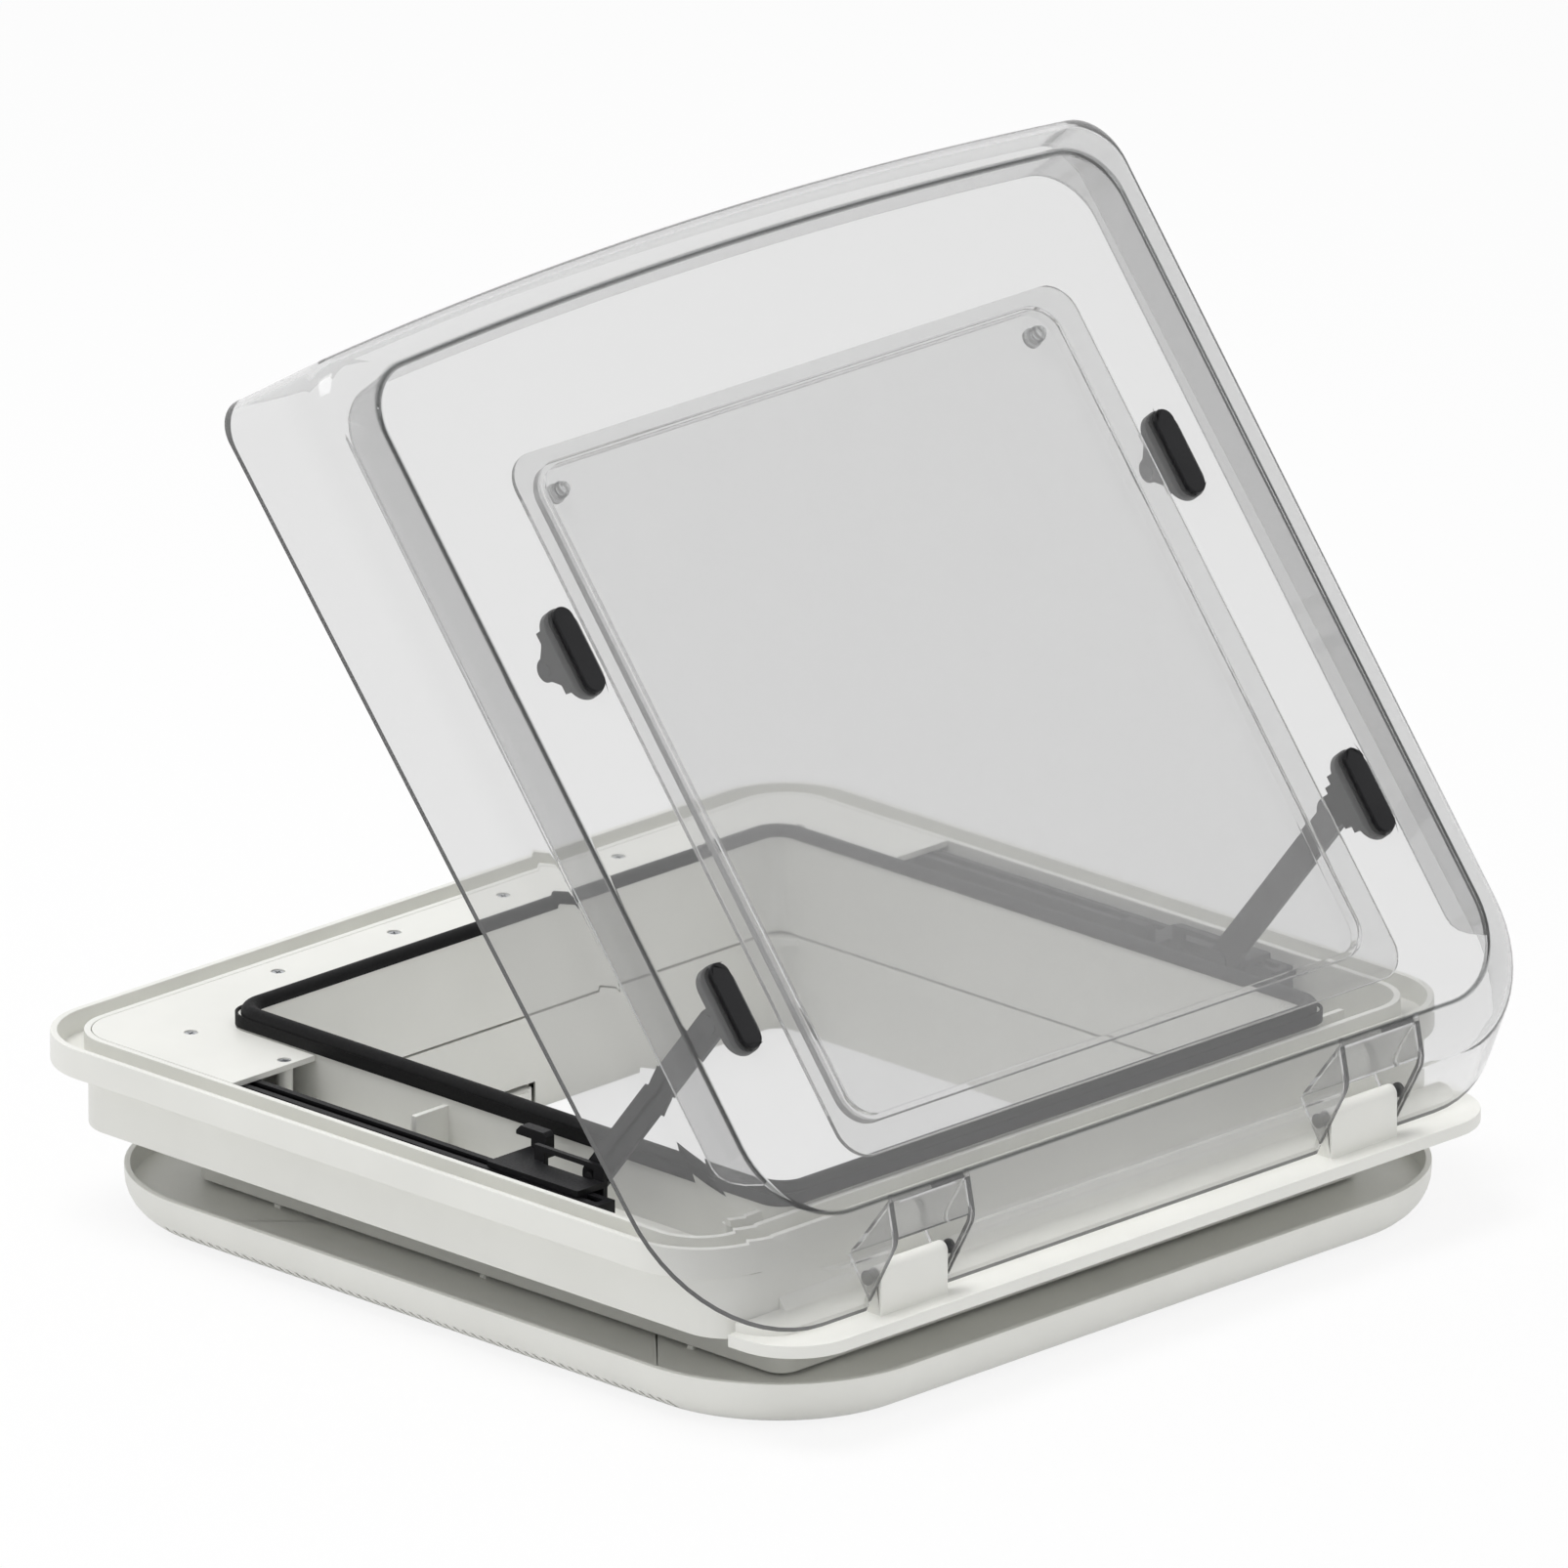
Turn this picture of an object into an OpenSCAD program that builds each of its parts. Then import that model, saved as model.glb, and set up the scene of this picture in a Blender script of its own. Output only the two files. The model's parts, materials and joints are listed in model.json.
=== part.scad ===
// Caravan roof vent: a moulded roof frame, a clear hinged dome with an inner pane,
// lifting arms on spindle-driven slides, and an interior trim ring.
// The origin is the centre of the roof cut-out, on the roof's outer face. +Z is up,
// the hinge lies on the -Y side and the free edge of the dome on the +Y side.

/* [Roof] */
// Side of the square roof cut-out
cutout = 400; // [390:1:410]
// Clear gap between the frame's foot and the trim ring, as photographed
roof_gap = 21; // [12:0.5:40]

/* [Frame] */
// Clear side of the square opening
opening = 356; // [340:1:360]
// Width of the outer lip
lip_w = 520; // [510:1:530]
// Depth of the outer lip, from hinge side to free side
lip_d = 460; // [456:1:468]
// Corner radius of the outer lip
lip_r = 43; // [36:1:46]
// Height of the lip's top above the roof
frame_h = 47; // [44:1:50]
// Height of the lip's outer band
lip_h = 15; // [12:1:17]
// Thickness of the lip and of the other upright walls
wall = 3.5; // [3:0.1:4]
// Width of the rain gutter behind the lip
gutter_w = 12.5; // [10:0.5:14]
// How far the lower wall stands in under the lip
lower_inset = 18; // [16:0.5:19]
// Thickness of the upright that carries the seal
upright_t = 7; // [6:0.5:9]
// Height of that upright above the lip's top
upright_rise = 6; // [5:0.5:7]
// Top of the tray floor above the roof
floor_z = 21; // [19:0.5:23]
// Depth of the spigot below the roof's outer face
spigot_depth = 29; // [20:1:40]

/* [Seal and cover] */
// Width of the bulb seal
seal_w = 8.5; // [7:0.5:9]
// Height of the bulb seal
seal_h = 5.2; // [4.5:0.1:5.4]
// Thickness of the cover plate over the drive
cover_t = 3; // [2.5:0.1:4]
// Distance from the opening's centre to the cover plate's ends
cover_end = 125; // [110:1:135]

/* [Hinge] */
// Distance of the hinge axis from the opening's centre
hinge_y = -236; // [-238:0.5:-234]
// Height of the hinge axis above the roof
hinge_z = 27.6; // [27:0.1:29]
// Opening angle of the dome, as photographed
open_angle = 51.7; // [48:0.1:55]
// Distance between the two hinges
hinge_span = 304; // [280:1:320]
// Width of a hinge pocket in the dome
pocket_w = 54; // [50:1:60]
// Radius of the hinge, arm and catch pins
pin_r = 3; // [2.5:0.1:3.5]

/* [Dome] */
// Width of the dome's flat top
top_w = 496; // [490:1:500]
// Hinge-side edge of the flat top, from the hinge axis
top_near = 24.3; // [22:0.1:26]
// Free-side edge of the flat top, from the hinge axis
top_far = 477; // [474:1:482]
// Bow of the flat top's free-side edge at its middle
top_bow = 7; // [0:0.5:9]
// Height of the flat top above the hinge axis
top_z = 36.5; // [36:0.1:38]
// Corner radius of the flat top
top_r = 45; // [40:1:50]
// Overhang of the rim past the flat top at the sides and the hinge
rim_out = 38; // [36:0.5:40]
// Overhang of the rim past the flat top at the free side's corners
rim_far = 20; // [19:0.5:24]
// Bow of the rim's free edge at its middle
rim_bow = 11; // [6:0.5:14]
// Overhang of the shoulder at the sides and the hinge
shoulder_o = 21; // [18:0.5:24]
// Overhang of the shoulder at the free side
shoulder_far = 16; // [15:0.5:18]
// Depth of the shoulder below the flat top
shoulder_d = 10.5; // [9:0.5:12]
// Depth of the rim below the hinge axis
rim_drop = 14; // [12:0.5:15]
// How much deeper the rim hangs at the free side
rim_tilt = 9; // [0:0.5:12]
// Thickness of the dome and of the inner pane
skin = 3; // [2.5:0.1:3.4]
// Depth of the inner pane's tray
pane_depth = 9; // [6:0.5:10]

/* [Arms and slides] */
// Distance of the arm pads from the middle
arm_pad_x = 213.6; // [211:0.1:215]
// Arm pivot from the hinge axis, along the dome
pivot_y = 134; // [130:1:140]
// Arm pivot above the hinge axis
pivot_z = 14; // [13:0.5:16]
// Foot pin of the arm at rest, from the opening's centre
foot_y = -88; // [-92:1:-84]
// Height of the foot pin above the roof
foot_z = 47; // [46:0.5:48]
// Width of an arm
arm_w = 15; // [12:0.5:16]
// Thickness of an arm
arm_t = 4; // [3:0.5:5]
// Distance of the guide rails from the middle
rail_x = 228; // [226:0.5:230]
// Width of a guide rail
rail_w = 12; // [11:0.5:14]
// Distance of the catch pads from the middle
catch_pad_x = 201.8; // [201:0.1:204]
// Catch pads from the hinge axis, along the dome
catch_pad_y = 319; // [314:1:324]

/* [Trim ring] */
// Width of the trim ring
trim_w = 491; // [480:1:500]
// Depth of the trim ring
trim_d = 488; // [470:1:500]
// Corner radius of the trim ring
trim_r = 85; // [60:1:100]
// Height of the trim ring
trim_h = 24; // [22:1:40]
// Radius of the ring's rounded lower edge
trim_round = 20; // [12:1:22]
// Vent slots along each side of the trim ring
vent_slots = 58; // [40:1:64]
// Radius of the turning knob
knob_r = 16; // [14:0.5:17]

/* [Hidden] */
$fn = 48;

// Clearances
run_fit = 0.05;
gap = 0.5;
eps = 0.01;

// Colours
white_plastic = "#e9eae4";
black_plastic = "#1d1d1f";
clear_plastic = "#c9cdcf80";
rubber = "#161617";
steel = "#b9bcc0";

// Frame places
hinge_gap = 30;
lip_near = hinge_y + hinge_gap;
lip_y = lip_near + lip_d / 2;
open_half = opening / 2;
upright_r = 12;
upright_half = open_half + upright_t;
upright_top = frame_h + upright_rise;
lip_bottom = frame_h - lip_h;
deck_inset = wall + gutter_w;
tray_inset = deck_inset + wall;
gutter_floor = lip_bottom + wall;
floor_t = 3;
web_bottom = 4;
web_t = 4;
spigot_half = cutout / 2 - 3;
spigot_in = spigot_half - 4;
foot_t = 3;
foot_w = 22;
cover_z = frame_h - cover_t;
boss_r = 4;
screw_r = 1.6;
screw_head_r = 3;
cover_screw_l = 10;
shaft_r = 2.2;
rib_t = 3;
rib_near = -(upright_half - 13);
rib_far = 0.2 * upright_half - 1;
tab_r = pin_r + 1.3;
tab_back = 12;
tab_play = 3;
rail_reach = 14;
rail_round = 34;
rail_end = 5;
rail_back = 8;
rail_back_round = 20;
rail_plate = 6.5;
rail_step = 11;

// Drive places
shaft_z = 33;
cross_y = 204;
corner_box = 24;
box_top = 43;
box_reach = 8;
knob_box_w = 48;
knob_y = (open_half + spigot_half) / 2 + 1;
rail_front = -112;
rail_top = cover_z;
rail_wall = 1.5;
rail_slot = 5;

// Dome places
skin_under = top_z - skin;
crease_r = 7;
shoulder_r = 13;
pocket_back = 12;
pocket_lean = 10;
pocket_low = -7;
pocket_ceiling = 27;
pane_side = open_half + upright_t + 3;
pane_near = open_half + upright_t + 5;
pane_far = open_half + upright_t - 4;
seal_lip_h = 5;
seal_lip_t = 1.2;
pane_t = 2.5;
pane_mid = -hinge_y;
tray_half = open_half - 4;
pane_under = skin_under - pane_t;

// Linkage, worked out so that arm and slide meet at both ends of the travel
arm_x = arm_pad_x - 3.1;
ear_t = 4;
ear_x = arm_x - arm_t / 2 - ear_t / 2 - gap;
pivot_open = turned([pivot_y, pivot_z], open_angle);
pivot_shut = turned([pivot_y, pivot_z], 0);
arm_len = norm([foot_y, foot_z] - pivot_open);
foot_shut = pivot_shut[0] + sqrt(pow(arm_len, 2) - pow(foot_z - pivot_shut[1], 2));
travel = foot_shut - foot_y;
arm_angle = atan2(foot_z - pivot_open[1], foot_y - pivot_open[0]);
lost_motion = 26;
lift_play = 2.2;
lug_t = 2.6;
lug_x = arm_x + arm_t / 2 + gap + lug_t / 2;
slider_near = foot_y - 10;
bridge_near = foot_y + lost_motion + 12;
bridge_len = 12;
hook_w = 6;
hook_x = 202;
hook_top = frame_h + 9.5;
catch_pin_z = 20;
hook_reach = 9;
catch_pin_y = bridge_near + bridge_len + hook_reach + travel + pin_r + 1 - hinge_y;
ear_r = 8;
ear_step = 4.5;

// Pads and brackets
pad_l = 44.5;
pad_w = 12;
pad_t = 3;
base_l = 46;
base_w = 21;
base_t = 4;
head_t = 1.8;
screw_half = 12;

// Trim ring places
trim_top = -roof_gap;
trim_bottom = trim_top - trim_h;
trim_wall = 3;
collar_half = open_half + trim_wall;
collar_top = web_bottom - 1;
knob_h = 14;
pillar_r = 5;
pillar_x = (collar_half + spigot_in) / 2;
shelf_top = -spigot_depth - 2;
shelf_t = 2;
spacer_h = 1.8;
spacer_pitch = 0.283 * trim_d;
slot_w = 2.2;
slot_lean = 4;
slot_low = trim_bottom + 0.08 * trim_round;
slot_high = trim_bottom + 0.38 * trim_round;
slot_near = -0.344 * trim_d - slot_lean / 2;
slot_pitch = 0.688 * trim_d / (vent_slots - 1);

// Screw places on the cover plate, one side; the other side mirrors them
cover_points = [[upright_half + 15, cover_end + 6], [upright_half + 19, cross_y - 14],
    [0.22 * lip_w, cross_y + 18], [0.07 * lip_w, cross_y + 18]];
// Trim screws, one quarter
trim_points = [[pillar_x, 110], [110, pillar_x]];

function turned(p, a) = [hinge_y + p[0] * cos(a) - p[1] * sin(a), hinge_z + p[0] * sin(a) + p[1] * cos(a)];
function unit(v) = v / norm(v);
function inward(v) = [-unit(v)[1], unit(v)[0]];
function offset_corner(p, n1, n2, t) = p + t * (n1 + n2) / (1 + n1 * n2);

// Points of a round of radius r at corner b, between the lines to a and c
function fillet_arc(a, b, c, r, n) =
    let (u = unit(a - b), v = unit(c - b), half = acos(u * v) / 2, run = r / tan(half))
    let (centre = b + unit(u + v) * r / sin(half), p0 = b + u * run - centre, p1 = b + v * run - centre)
    let (a0 = atan2(p0[1], p0[0]), a1 = atan2(p1[1], p1[0]))
    [for (i = [0:n]) centre + r * [cos(a0 + (a1 - a0) * i / n), sin(a0 + (a1 - a0) * i / n)]];

// The dome's section as [out, down] points: flat top, chamfer, wall; t moves it inwards
function dome_profile(out, rim, depth, t) =
    let (shoulder = [out, shoulder_d], edge = [rim, depth])
    let (n1 = inward(shoulder), n2 = inward(edge - shoulder))
    let (c = offset_corner([0, 0], [0, 1], n1, t), s = offset_corner(shoulder, n1, n2, t), e = edge + t * n2)
    concat(fillet_arc(c - [rim_out, 0], c, s, crease_r - t, 2), fillet_arc(c, s, e, shoulder_r - t, 3), [e]);

// A rectangle with round corners, centred at [0, y]
module round_rect(w, d, r, y = 0) {
    translate([0, y]) {
        square([w - 2 * r, d], center = true);
        square([w, d - 2 * r], center = true);
        for (sx = [-1, 1], sy = [-1, 1]) translate([sx * (w / 2 - r), sy * (d / 2 - r)]) circle(r);
    }
}

module slab(w, d, r, y, z0, z1) {
    translate([0, 0, z0]) linear_extrude(z1 - z0) round_rect(w, d, r, y);
}

// The lip's outline, moved in by a distance
module lip_slab(inset, z0, z1) {
    slab(lip_w - 2 * inset, lip_d - 2 * inset, lip_r - inset, lip_y, z0, z1);
}

// The lower wall's outline: it stands in under the lip but runs flush with it on the hinge side
module lower_slab(inset, z0, z1) {
    depth = lip_d - lower_inset - 2 * inset;
    slab(lip_w - 2 * lower_inset - 2 * inset, depth, lip_r - lower_inset - min(inset, wall), lip_y - lower_inset / 2,
        z0, z1);
}

module square_slab(half, r, z0, z1) {
    slab(2 * half, 2 * half, r, 0, z0, z1);
}

// Carries a profile round a rounded rectangle; the profile's x is outwards from the path and y is up
module sweep_frame(half_x, half_y, r) {
    for (i = [0:3]) {
        long = i % 2 == 0 ? half_x : half_y;
        far = i % 2 == 0 ? half_y : half_x;
        rotate([0, 0, 90 * i]) {
            translate([-(long - r), far, 0]) rotate([90, 0, 90]) linear_extrude(2 * (long - r)) children();
            translate([-(long - r), far - r, 0]) rotate([0, 0, 90]) rotate_extrude(angle = 90)
                translate([r, 0]) children();
        }
    }
}

// A pin along X from x0 to x1
module cross_pin(x0, x1, r) {
    translate([x0, 0, 0]) rotate([0, 90, 0]) cylinder(h = x1 - x0, r = r);
}

// An outline drawn in the YZ plane, given thickness along X about x
module side_plate(x, t) {
    translate([x - t / 2, 0, 0]) rotate([90, 0, 90]) linear_extrude(t) children();
}

module stadium(l, w) {
    square([w, l - w], center = true);
    for (s = [-1, 1]) translate([0, s * (l - w) / 2]) circle(w / 2);
}

module both_sides() {
    children();
    mirror([1, 0, 0]) children();
}

// Puts a shape drawn about the hinge axis, dome shut, into the open pose
module on_dome() {
    translate([0, hinge_y, hinge_z]) rotate([open_angle, 0, 0]) children();
}

// Frame pieces
module frame_bosses() {
    both_sides() for (p = cover_points) translate([p[0], p[1], floor_z - 1]) cylinder(h = cover_z - floor_z + 1, r = boss_r);
    both_sides() translate([upright_half - 1, rib_far, floor_z - 1]) cube([7.5 * rib_t, rib_t, cover_z - floor_z + 1]);
    both_sides() translate([upright_half - 1, rib_near, floor_z - 1]) cube([8 * rib_t, rib_t, cover_z - floor_z + 1]);
}

module frame_hollows() {
    difference() {
        lip_slab(wall, gutter_floor, frame_h + 1);
        lip_slab(deck_inset, gutter_floor - 1, frame_h + 2);
        square_slab(upright_half, upright_r, gutter_floor - 1, frame_h + 2);
    }
    difference() {
        lip_slab(tray_inset, floor_z, frame_h + 1);
        square_slab(upright_half, upright_r, floor_z - 1, frame_h + 2);
        frame_bosses();
    }
    difference() {
        union() {
            lower_slab(wall, foot_t, floor_z - floor_t);
            lower_slab(foot_w, -1, foot_t + eps);
        }
        square_slab(spigot_half, 10, -2, floor_z);
    }
    square_slab(open_half, 8, -spigot_depth - 1, upright_top + 1);
    square_slab(spigot_in, 8, -spigot_depth - 1, web_bottom);
}

module outer_frame() {
    color(white_plastic) difference() {
        union() {
            lip_slab(0, lip_bottom, frame_h);
            lower_slab(0, 0, lip_bottom + eps);
            square_slab(upright_half, upright_r, 0, upright_top);
            square_slab(spigot_half, 10, -spigot_depth, web_bottom + web_t);
        }
        difference() {
            frame_hollows();
            for (sx = [-1, 1], sy = [-1, 1], p = trim_points) translate([sx * p[0], sy * p[1], 0]) cylinder(h = web_bottom + 1, r = pillar_r);
        }
        for (sx = [-1, 1], sy = [-1, 1], p = trim_points) translate([sx * p[0], sy * p[1], -1]) cylinder(h = 12, r = screw_r);
        both_sides() for (p = cover_points) translate([p[0], p[1], cover_z - 10]) cylinder(h = 12, r = screw_r);
        translate([0, knob_y, -spigot_depth - 1]) cylinder(h = spigot_depth + floor_z + 2, r = shaft_r + gap);
    }
}

// A hinge's hump on the rail, with an upright front and a round top about the pin
module hinge_tab() {
    side_plate(0, pocket_w - 2 * skin - tab_play) difference() {
        union() {
            translate([hinge_y, hinge_z]) circle(tab_r);
            polygon([[hinge_y - tab_r, 1], [hinge_y + tab_back, 1], [hinge_y + tab_r, hinge_z], [hinge_y - tab_r, hinge_z]]);
        }
        translate([hinge_y, hinge_z]) circle(pin_r + run_fit);
    }
}

module hinge_rail() {
    length = lip_w - 2 * lower_inset;
    color(white_plastic) {
        linear_extrude(rail_plate) rail_outline(length, hinge_y - rail_reach, rail_round);
        linear_extrude(rail_step) rail_outline(length - 2 * rail_end, hinge_y + rail_back, rail_back_round);
        for (s = [-1, 1]) translate([s * hinge_span / 2, 0, 0]) hinge_tab();
        // Cove between the rail and the frame's wall
        translate([-length / 2 + rail_round, 0, rail_step]) rotate([90, 0, 90]) linear_extrude(length - 2 * rail_round)
            polygon([[lip_near, -1], [lip_near, 6], [lip_near - 2, 3], [lip_near - 6, -1]]);
    }
}

// One step of the hinge rail: from y0 to the frame's wall, round at its outer corners
module rail_outline(length, y0, r) {
    difference() {
        round_rect(length, lip_near - y0 + 2 * r, r, (lip_near + y0) / 2 + r);
        translate([-length, lip_near]) square([2 * length, 4 * r]);
    }
}

// A bulb on the upright, with a lip that grips the upright's outer side
module bulb_seal() {
    round_part = seal_w / 2;
    color(rubber) {
        translate([0, 0, upright_top]) sweep_frame(open_half + upright_t / 2, open_half + upright_t / 2, 14) {
            translate([-seal_w / 2, 0]) square([seal_w, seal_h - round_part]);
            intersection() {
                translate([0, seal_h - round_part]) circle(round_part);
                translate([-seal_w, 0]) square([2 * seal_w, seal_h]);
            }
        }
        difference() {
            square_slab(upright_half + seal_lip_t, upright_r + seal_lip_t, upright_top - seal_lip_h, upright_top + 1);
            square_slab(upright_half, upright_r, upright_top - seal_lip_h - 1, upright_top + 2);
        }
    }
}

module cover_plate() {
    fit = 0.3;
    color(white_plastic) difference() {
        lip_slab(tray_inset + fit, cover_z, frame_h);
        square_slab(upright_half + fit, upright_r, cover_z - 1, frame_h + 1);
        translate([-lip_w, cover_end - lip_d * 2, cover_z - 1]) cube([2 * lip_w, lip_d * 2, cover_t + 2]);
        both_sides() for (p = cover_points) translate([p[0], p[1], cover_z - 1]) {
            cylinder(h = cover_t + 2, r = screw_r + 0.2);
            translate([0, 0, 1.8]) cylinder(h = cover_t + 2, r = screw_head_r + 0.3);
        }
    }
}

module cover_screws() {
    color(steel) both_sides() for (p = cover_points) translate([p[0], p[1], 0]) {
        translate([0, 0, cover_z + 1 - cover_screw_l]) cylinder(h = cover_screw_l, r = screw_r);
        translate([0, 0, cover_z + 0.8]) cylinder(h = 1.6, r = screw_head_r);
    }
}

// Drive pieces, drawn on the left
module guide_rail() {
    rail_back = cross_y - corner_box / 2;
    color(black_plastic) difference() {
        translate([-rail_x - rail_w / 2, rail_front, floor_z]) cube([rail_w, rail_back - rail_front, rail_top - floor_z]);
        translate([-rail_x - rail_w / 2 + rail_wall, rail_front + 4, floor_z + rail_wall])
            cube([rail_w - 2 * rail_wall, rail_back - rail_front, rail_top - floor_z - 2 * rail_wall]);
        translate([-rail_x - rail_slot / 2, rail_front + 4, floor_z + rail_wall + 1])
            cube([rail_slot, rail_back - rail_front, rail_top - floor_z]);
        translate([-rail_x, rail_front - 1, shaft_z]) rotate([-90, 0, 0]) cylinder(h = 6, r = shaft_r + run_fit);
    }
}

module corner_gearbox() {
    color(black_plastic) difference() {
        translate([-rail_x - rail_w / 2 - 2, cross_y - corner_box / 2, floor_z])
            cube([rail_w + 4, corner_box, box_top - floor_z]);
        translate([-rail_x, cross_y - corner_box / 2 - 1, shaft_z]) rotate([-90, 0, 0])
            cylinder(h = box_reach + 1, r = shaft_r + run_fit);
        translate([-rail_x + rail_w / 2 + 2 - box_reach, cross_y, shaft_z])
            cross_pin(0, box_reach + 1, shaft_r + run_fit);
    }
}

module knob_gearbox() {
    near = upright_half + 0.5;
    color(black_plastic) difference() {
        translate([-knob_box_w / 2, near, floor_z]) cube([knob_box_w, cross_y + corner_box / 2 - near, box_top - floor_z]);
        translate([-knob_box_w, cross_y, shaft_z]) cross_pin(0, 2 * knob_box_w, shaft_r + run_fit);
        translate([0, knob_y, floor_z - 1]) cylinder(h = box_reach + 1, r = shaft_r + run_fit);
    }
}

module spindle() {
    color(steel) translate([-rail_x, rail_front, shaft_z]) rotate([-90, 0, 0])
        cylinder(h = cross_y - corner_box / 2 + box_reach - 0.5 - rail_front, r = shaft_r);
}

module cross_shaft() {
    half = rail_x - rail_w / 2 - 2 + box_reach - 0.5;
    color(steel) translate([0, cross_y, shaft_z]) cross_pin(-half, half, shaft_r);
}

module knob_shaft() {
    start = trim_bottom + 2;
    color(steel) translate([0, knob_y, start]) cylinder(h = floor_z + box_reach - 0.5 - start, r = shaft_r);
}

module turning_knob() {
    flutes = 12;
    color(white_plastic) translate([0, knob_y, trim_bottom]) difference() {
        cylinder(h = knob_h - 2, r = knob_r);
        for (i = [0:flutes - 1]) rotate([0, 0, i * 360 / flutes]) translate([knob_r + 1, 0, -1]) cylinder(h = knob_h, r = 2.4);
        translate([0, 0, 2]) cylinder(h = knob_h, r = shaft_r + 0.02);
    }
}

// Trim ring
module trim_rim() {
    steps = 8;
    outer_arc = [for (i = [0:steps]) let (a = 90 * i / steps)
        [-trim_round + trim_round * cos(a), trim_bottom + trim_round - trim_round * sin(a)]];
    inner_r = trim_round - trim_wall;
    inner_arc = [for (i = [0:steps]) let (a = 90 * (steps - i) / steps)
        [-trim_round + inner_r * cos(a), trim_bottom + trim_round - inner_r * sin(a)]];
    polygon(concat([[0, trim_top]], outer_arc, inner_arc, [[-trim_wall, trim_top]]));
}

module corner_gusset() {
    leg = 14;
    polygon([[0, 0], [-leg, 0], [0, -leg]]);
}

// Slanted slots along one side, as seen from the side
module slot_row() {
    for (i = [0:vent_slots - 1]) {
        y = slot_near + i * slot_pitch;
        polygon([[y, slot_low], [y + slot_w, slot_low], [y + slot_w + slot_lean, slot_high], [y + slot_lean, slot_high]]);
    }
}

module trim_ring() {
    color(white_plastic) difference() {
        union() {
            sweep_frame(trim_w / 2, trim_d / 2, trim_r) trim_rim();
            slab(trim_w - 2 * trim_wall + 1, trim_d - 2 * trim_wall + 1, trim_r - trim_wall, 0, shelf_top - shelf_t, shelf_top);
            slab(trim_w - 2 * trim_round, trim_d - 2 * trim_round, trim_r - trim_round, 0, trim_bottom, trim_bottom + trim_wall);
            square_slab(collar_half, 10, trim_bottom, collar_top);
            for (sx = [-1, 1], sy = [-1, 1], p = trim_points) translate([sx * p[0], sy * p[1], trim_bottom])
                cylinder(h = -trim_bottom - 1, r = pillar_r);
            both_sides() for (i = [-1:1]) translate([spigot_half - 4, i * spacer_pitch, shelf_top - 1]) cube([3.5, 4, spacer_h + 1]);
        }
        difference() {
            square_slab(open_half, 8, trim_bottom - 1, collar_top + 1);
            for (sx = [-1, 1], sy = [-1, 1]) translate([sx * open_half, sy * open_half, collar_top - 4])
                mirror([sx < 0 ? 1 : 0, 0]) mirror([0, sy < 0 ? 1 : 0]) linear_extrude(4) corner_gusset();
        }
        for (sx = [-1, 1], sy = [-1, 1], p = trim_points) translate([sx * p[0], sy * p[1], trim_bottom - 1]) {
            cylinder(h = -trim_bottom + 2, r = screw_r + 0.2);
            cylinder(h = 5, r = screw_head_r + 0.4);
        }
        both_sides() side_plate(trim_w / 2 - 0.225 * trim_round, trim_round) slot_row();
        translate([0, knob_y, trim_bottom - 1]) cylinder(h = knob_h + 1, r = knob_r + 2);
        translate([0, knob_y, trim_bottom]) cylinder(h = -trim_bottom + 5, r = shaft_r + gap);
    }
}

module trim_screws() {
    color(steel) for (sx = [-1, 1], sy = [-1, 1], p = trim_points) translate([sx * p[0], sy * p[1], 0]) {
        translate([0, 0, trim_bottom + 4]) cylinder(h = 10 - trim_bottom - 4 - 2, r = screw_r);
        translate([0, 0, trim_bottom + 1.6]) cylinder(h = 2.4, r = screw_head_r);
    }
}

// Dome pieces, drawn about the hinge axis with the dome shut
module dome_form(t) {
    side = dome_profile(shoulder_o, rim_out, top_z + rim_drop, t);
    free = dome_profile(shoulder_far, rim_far, top_z + rim_drop + rim_tilt, t);
    hull() for (i = [0:len(side) - 1]) {
        o = side[i][0];
        r_near = top_r + o * 0.9;
        far = top_far + free[i][0];
        bow = top_bow + (rim_bow - top_bow) * max(0, free[i][0]) / rim_far;
        low = top_z - side[i][1] - eps;
        far_low = top_z - free[i][1] - eps;
        for (s = [-1, 1]) {
            translate([s * (top_w / 2 + o - r_near), top_near - o + r_near, low]) cylinder(h = eps, r = r_near, $fn = 40);
            translate([s * (top_w / 2 + o - top_r), far - top_r, far_low]) cylinder(h = eps, r = top_r, $fn = 40);
            for (k = [0:4]) {
                x = k * top_w / 11;
                translate([s * x, far - 1 + bow * (1 - pow(2.2 * x / top_w, 2)), far_low]) cylinder(h = eps, r = 1, $fn = 8);
            }
        }
    }
}

// Cheek of a hinge pocket: it follows the dome's wall outside and the pocket's back inside
module cheek_outline() {
    side = dome_profile(shoulder_o, rim_out, top_z + rim_drop, 0);
    last = len(side) - 1;
    down = (top_z + 1.2 * -pocket_low - side[last - 1][1]) / (side[last][1] - side[last - 1][1]);
    foot = side[last - 1] + (side[last] - side[last - 1]) * down;
    outer = [for (p = concat([for (i = [1:last - 1]) side[i]], [foot])) [top_near - p[0] + 1, top_z - p[1]]];
    polygon(concat(outer, [[pocket_back, pocket_low], [pocket_back + pocket_lean, skin_under + 1]]));
}

module hinge_pockets() {
    top_back = pocket_back + pocket_lean;
    both_sides() for (s = [-1, 1]) side_plate(hinge_span / 2 + s * (pocket_w - skin) / 2, skin) cheek_outline();
    both_sides() side_plate(hinge_span / 2, pocket_w) polygon([[pocket_back, pocket_low], [pocket_back + skin, pocket_low],
        [top_back + skin, skin_under + 1], [top_back, skin_under + 1]]);
}

// What is cut from the dome's wall in front of a hinge
module pocket_mouth() {
    out = -2 * rim_out;
    under = 3 * -rim_drop;
    polygon([[out, pocket_ceiling], [pocket_back + 0.8 * pocket_lean, pocket_ceiling], [pocket_back, pocket_low],
        [pocket_back, under], [out, under]]);
}

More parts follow.
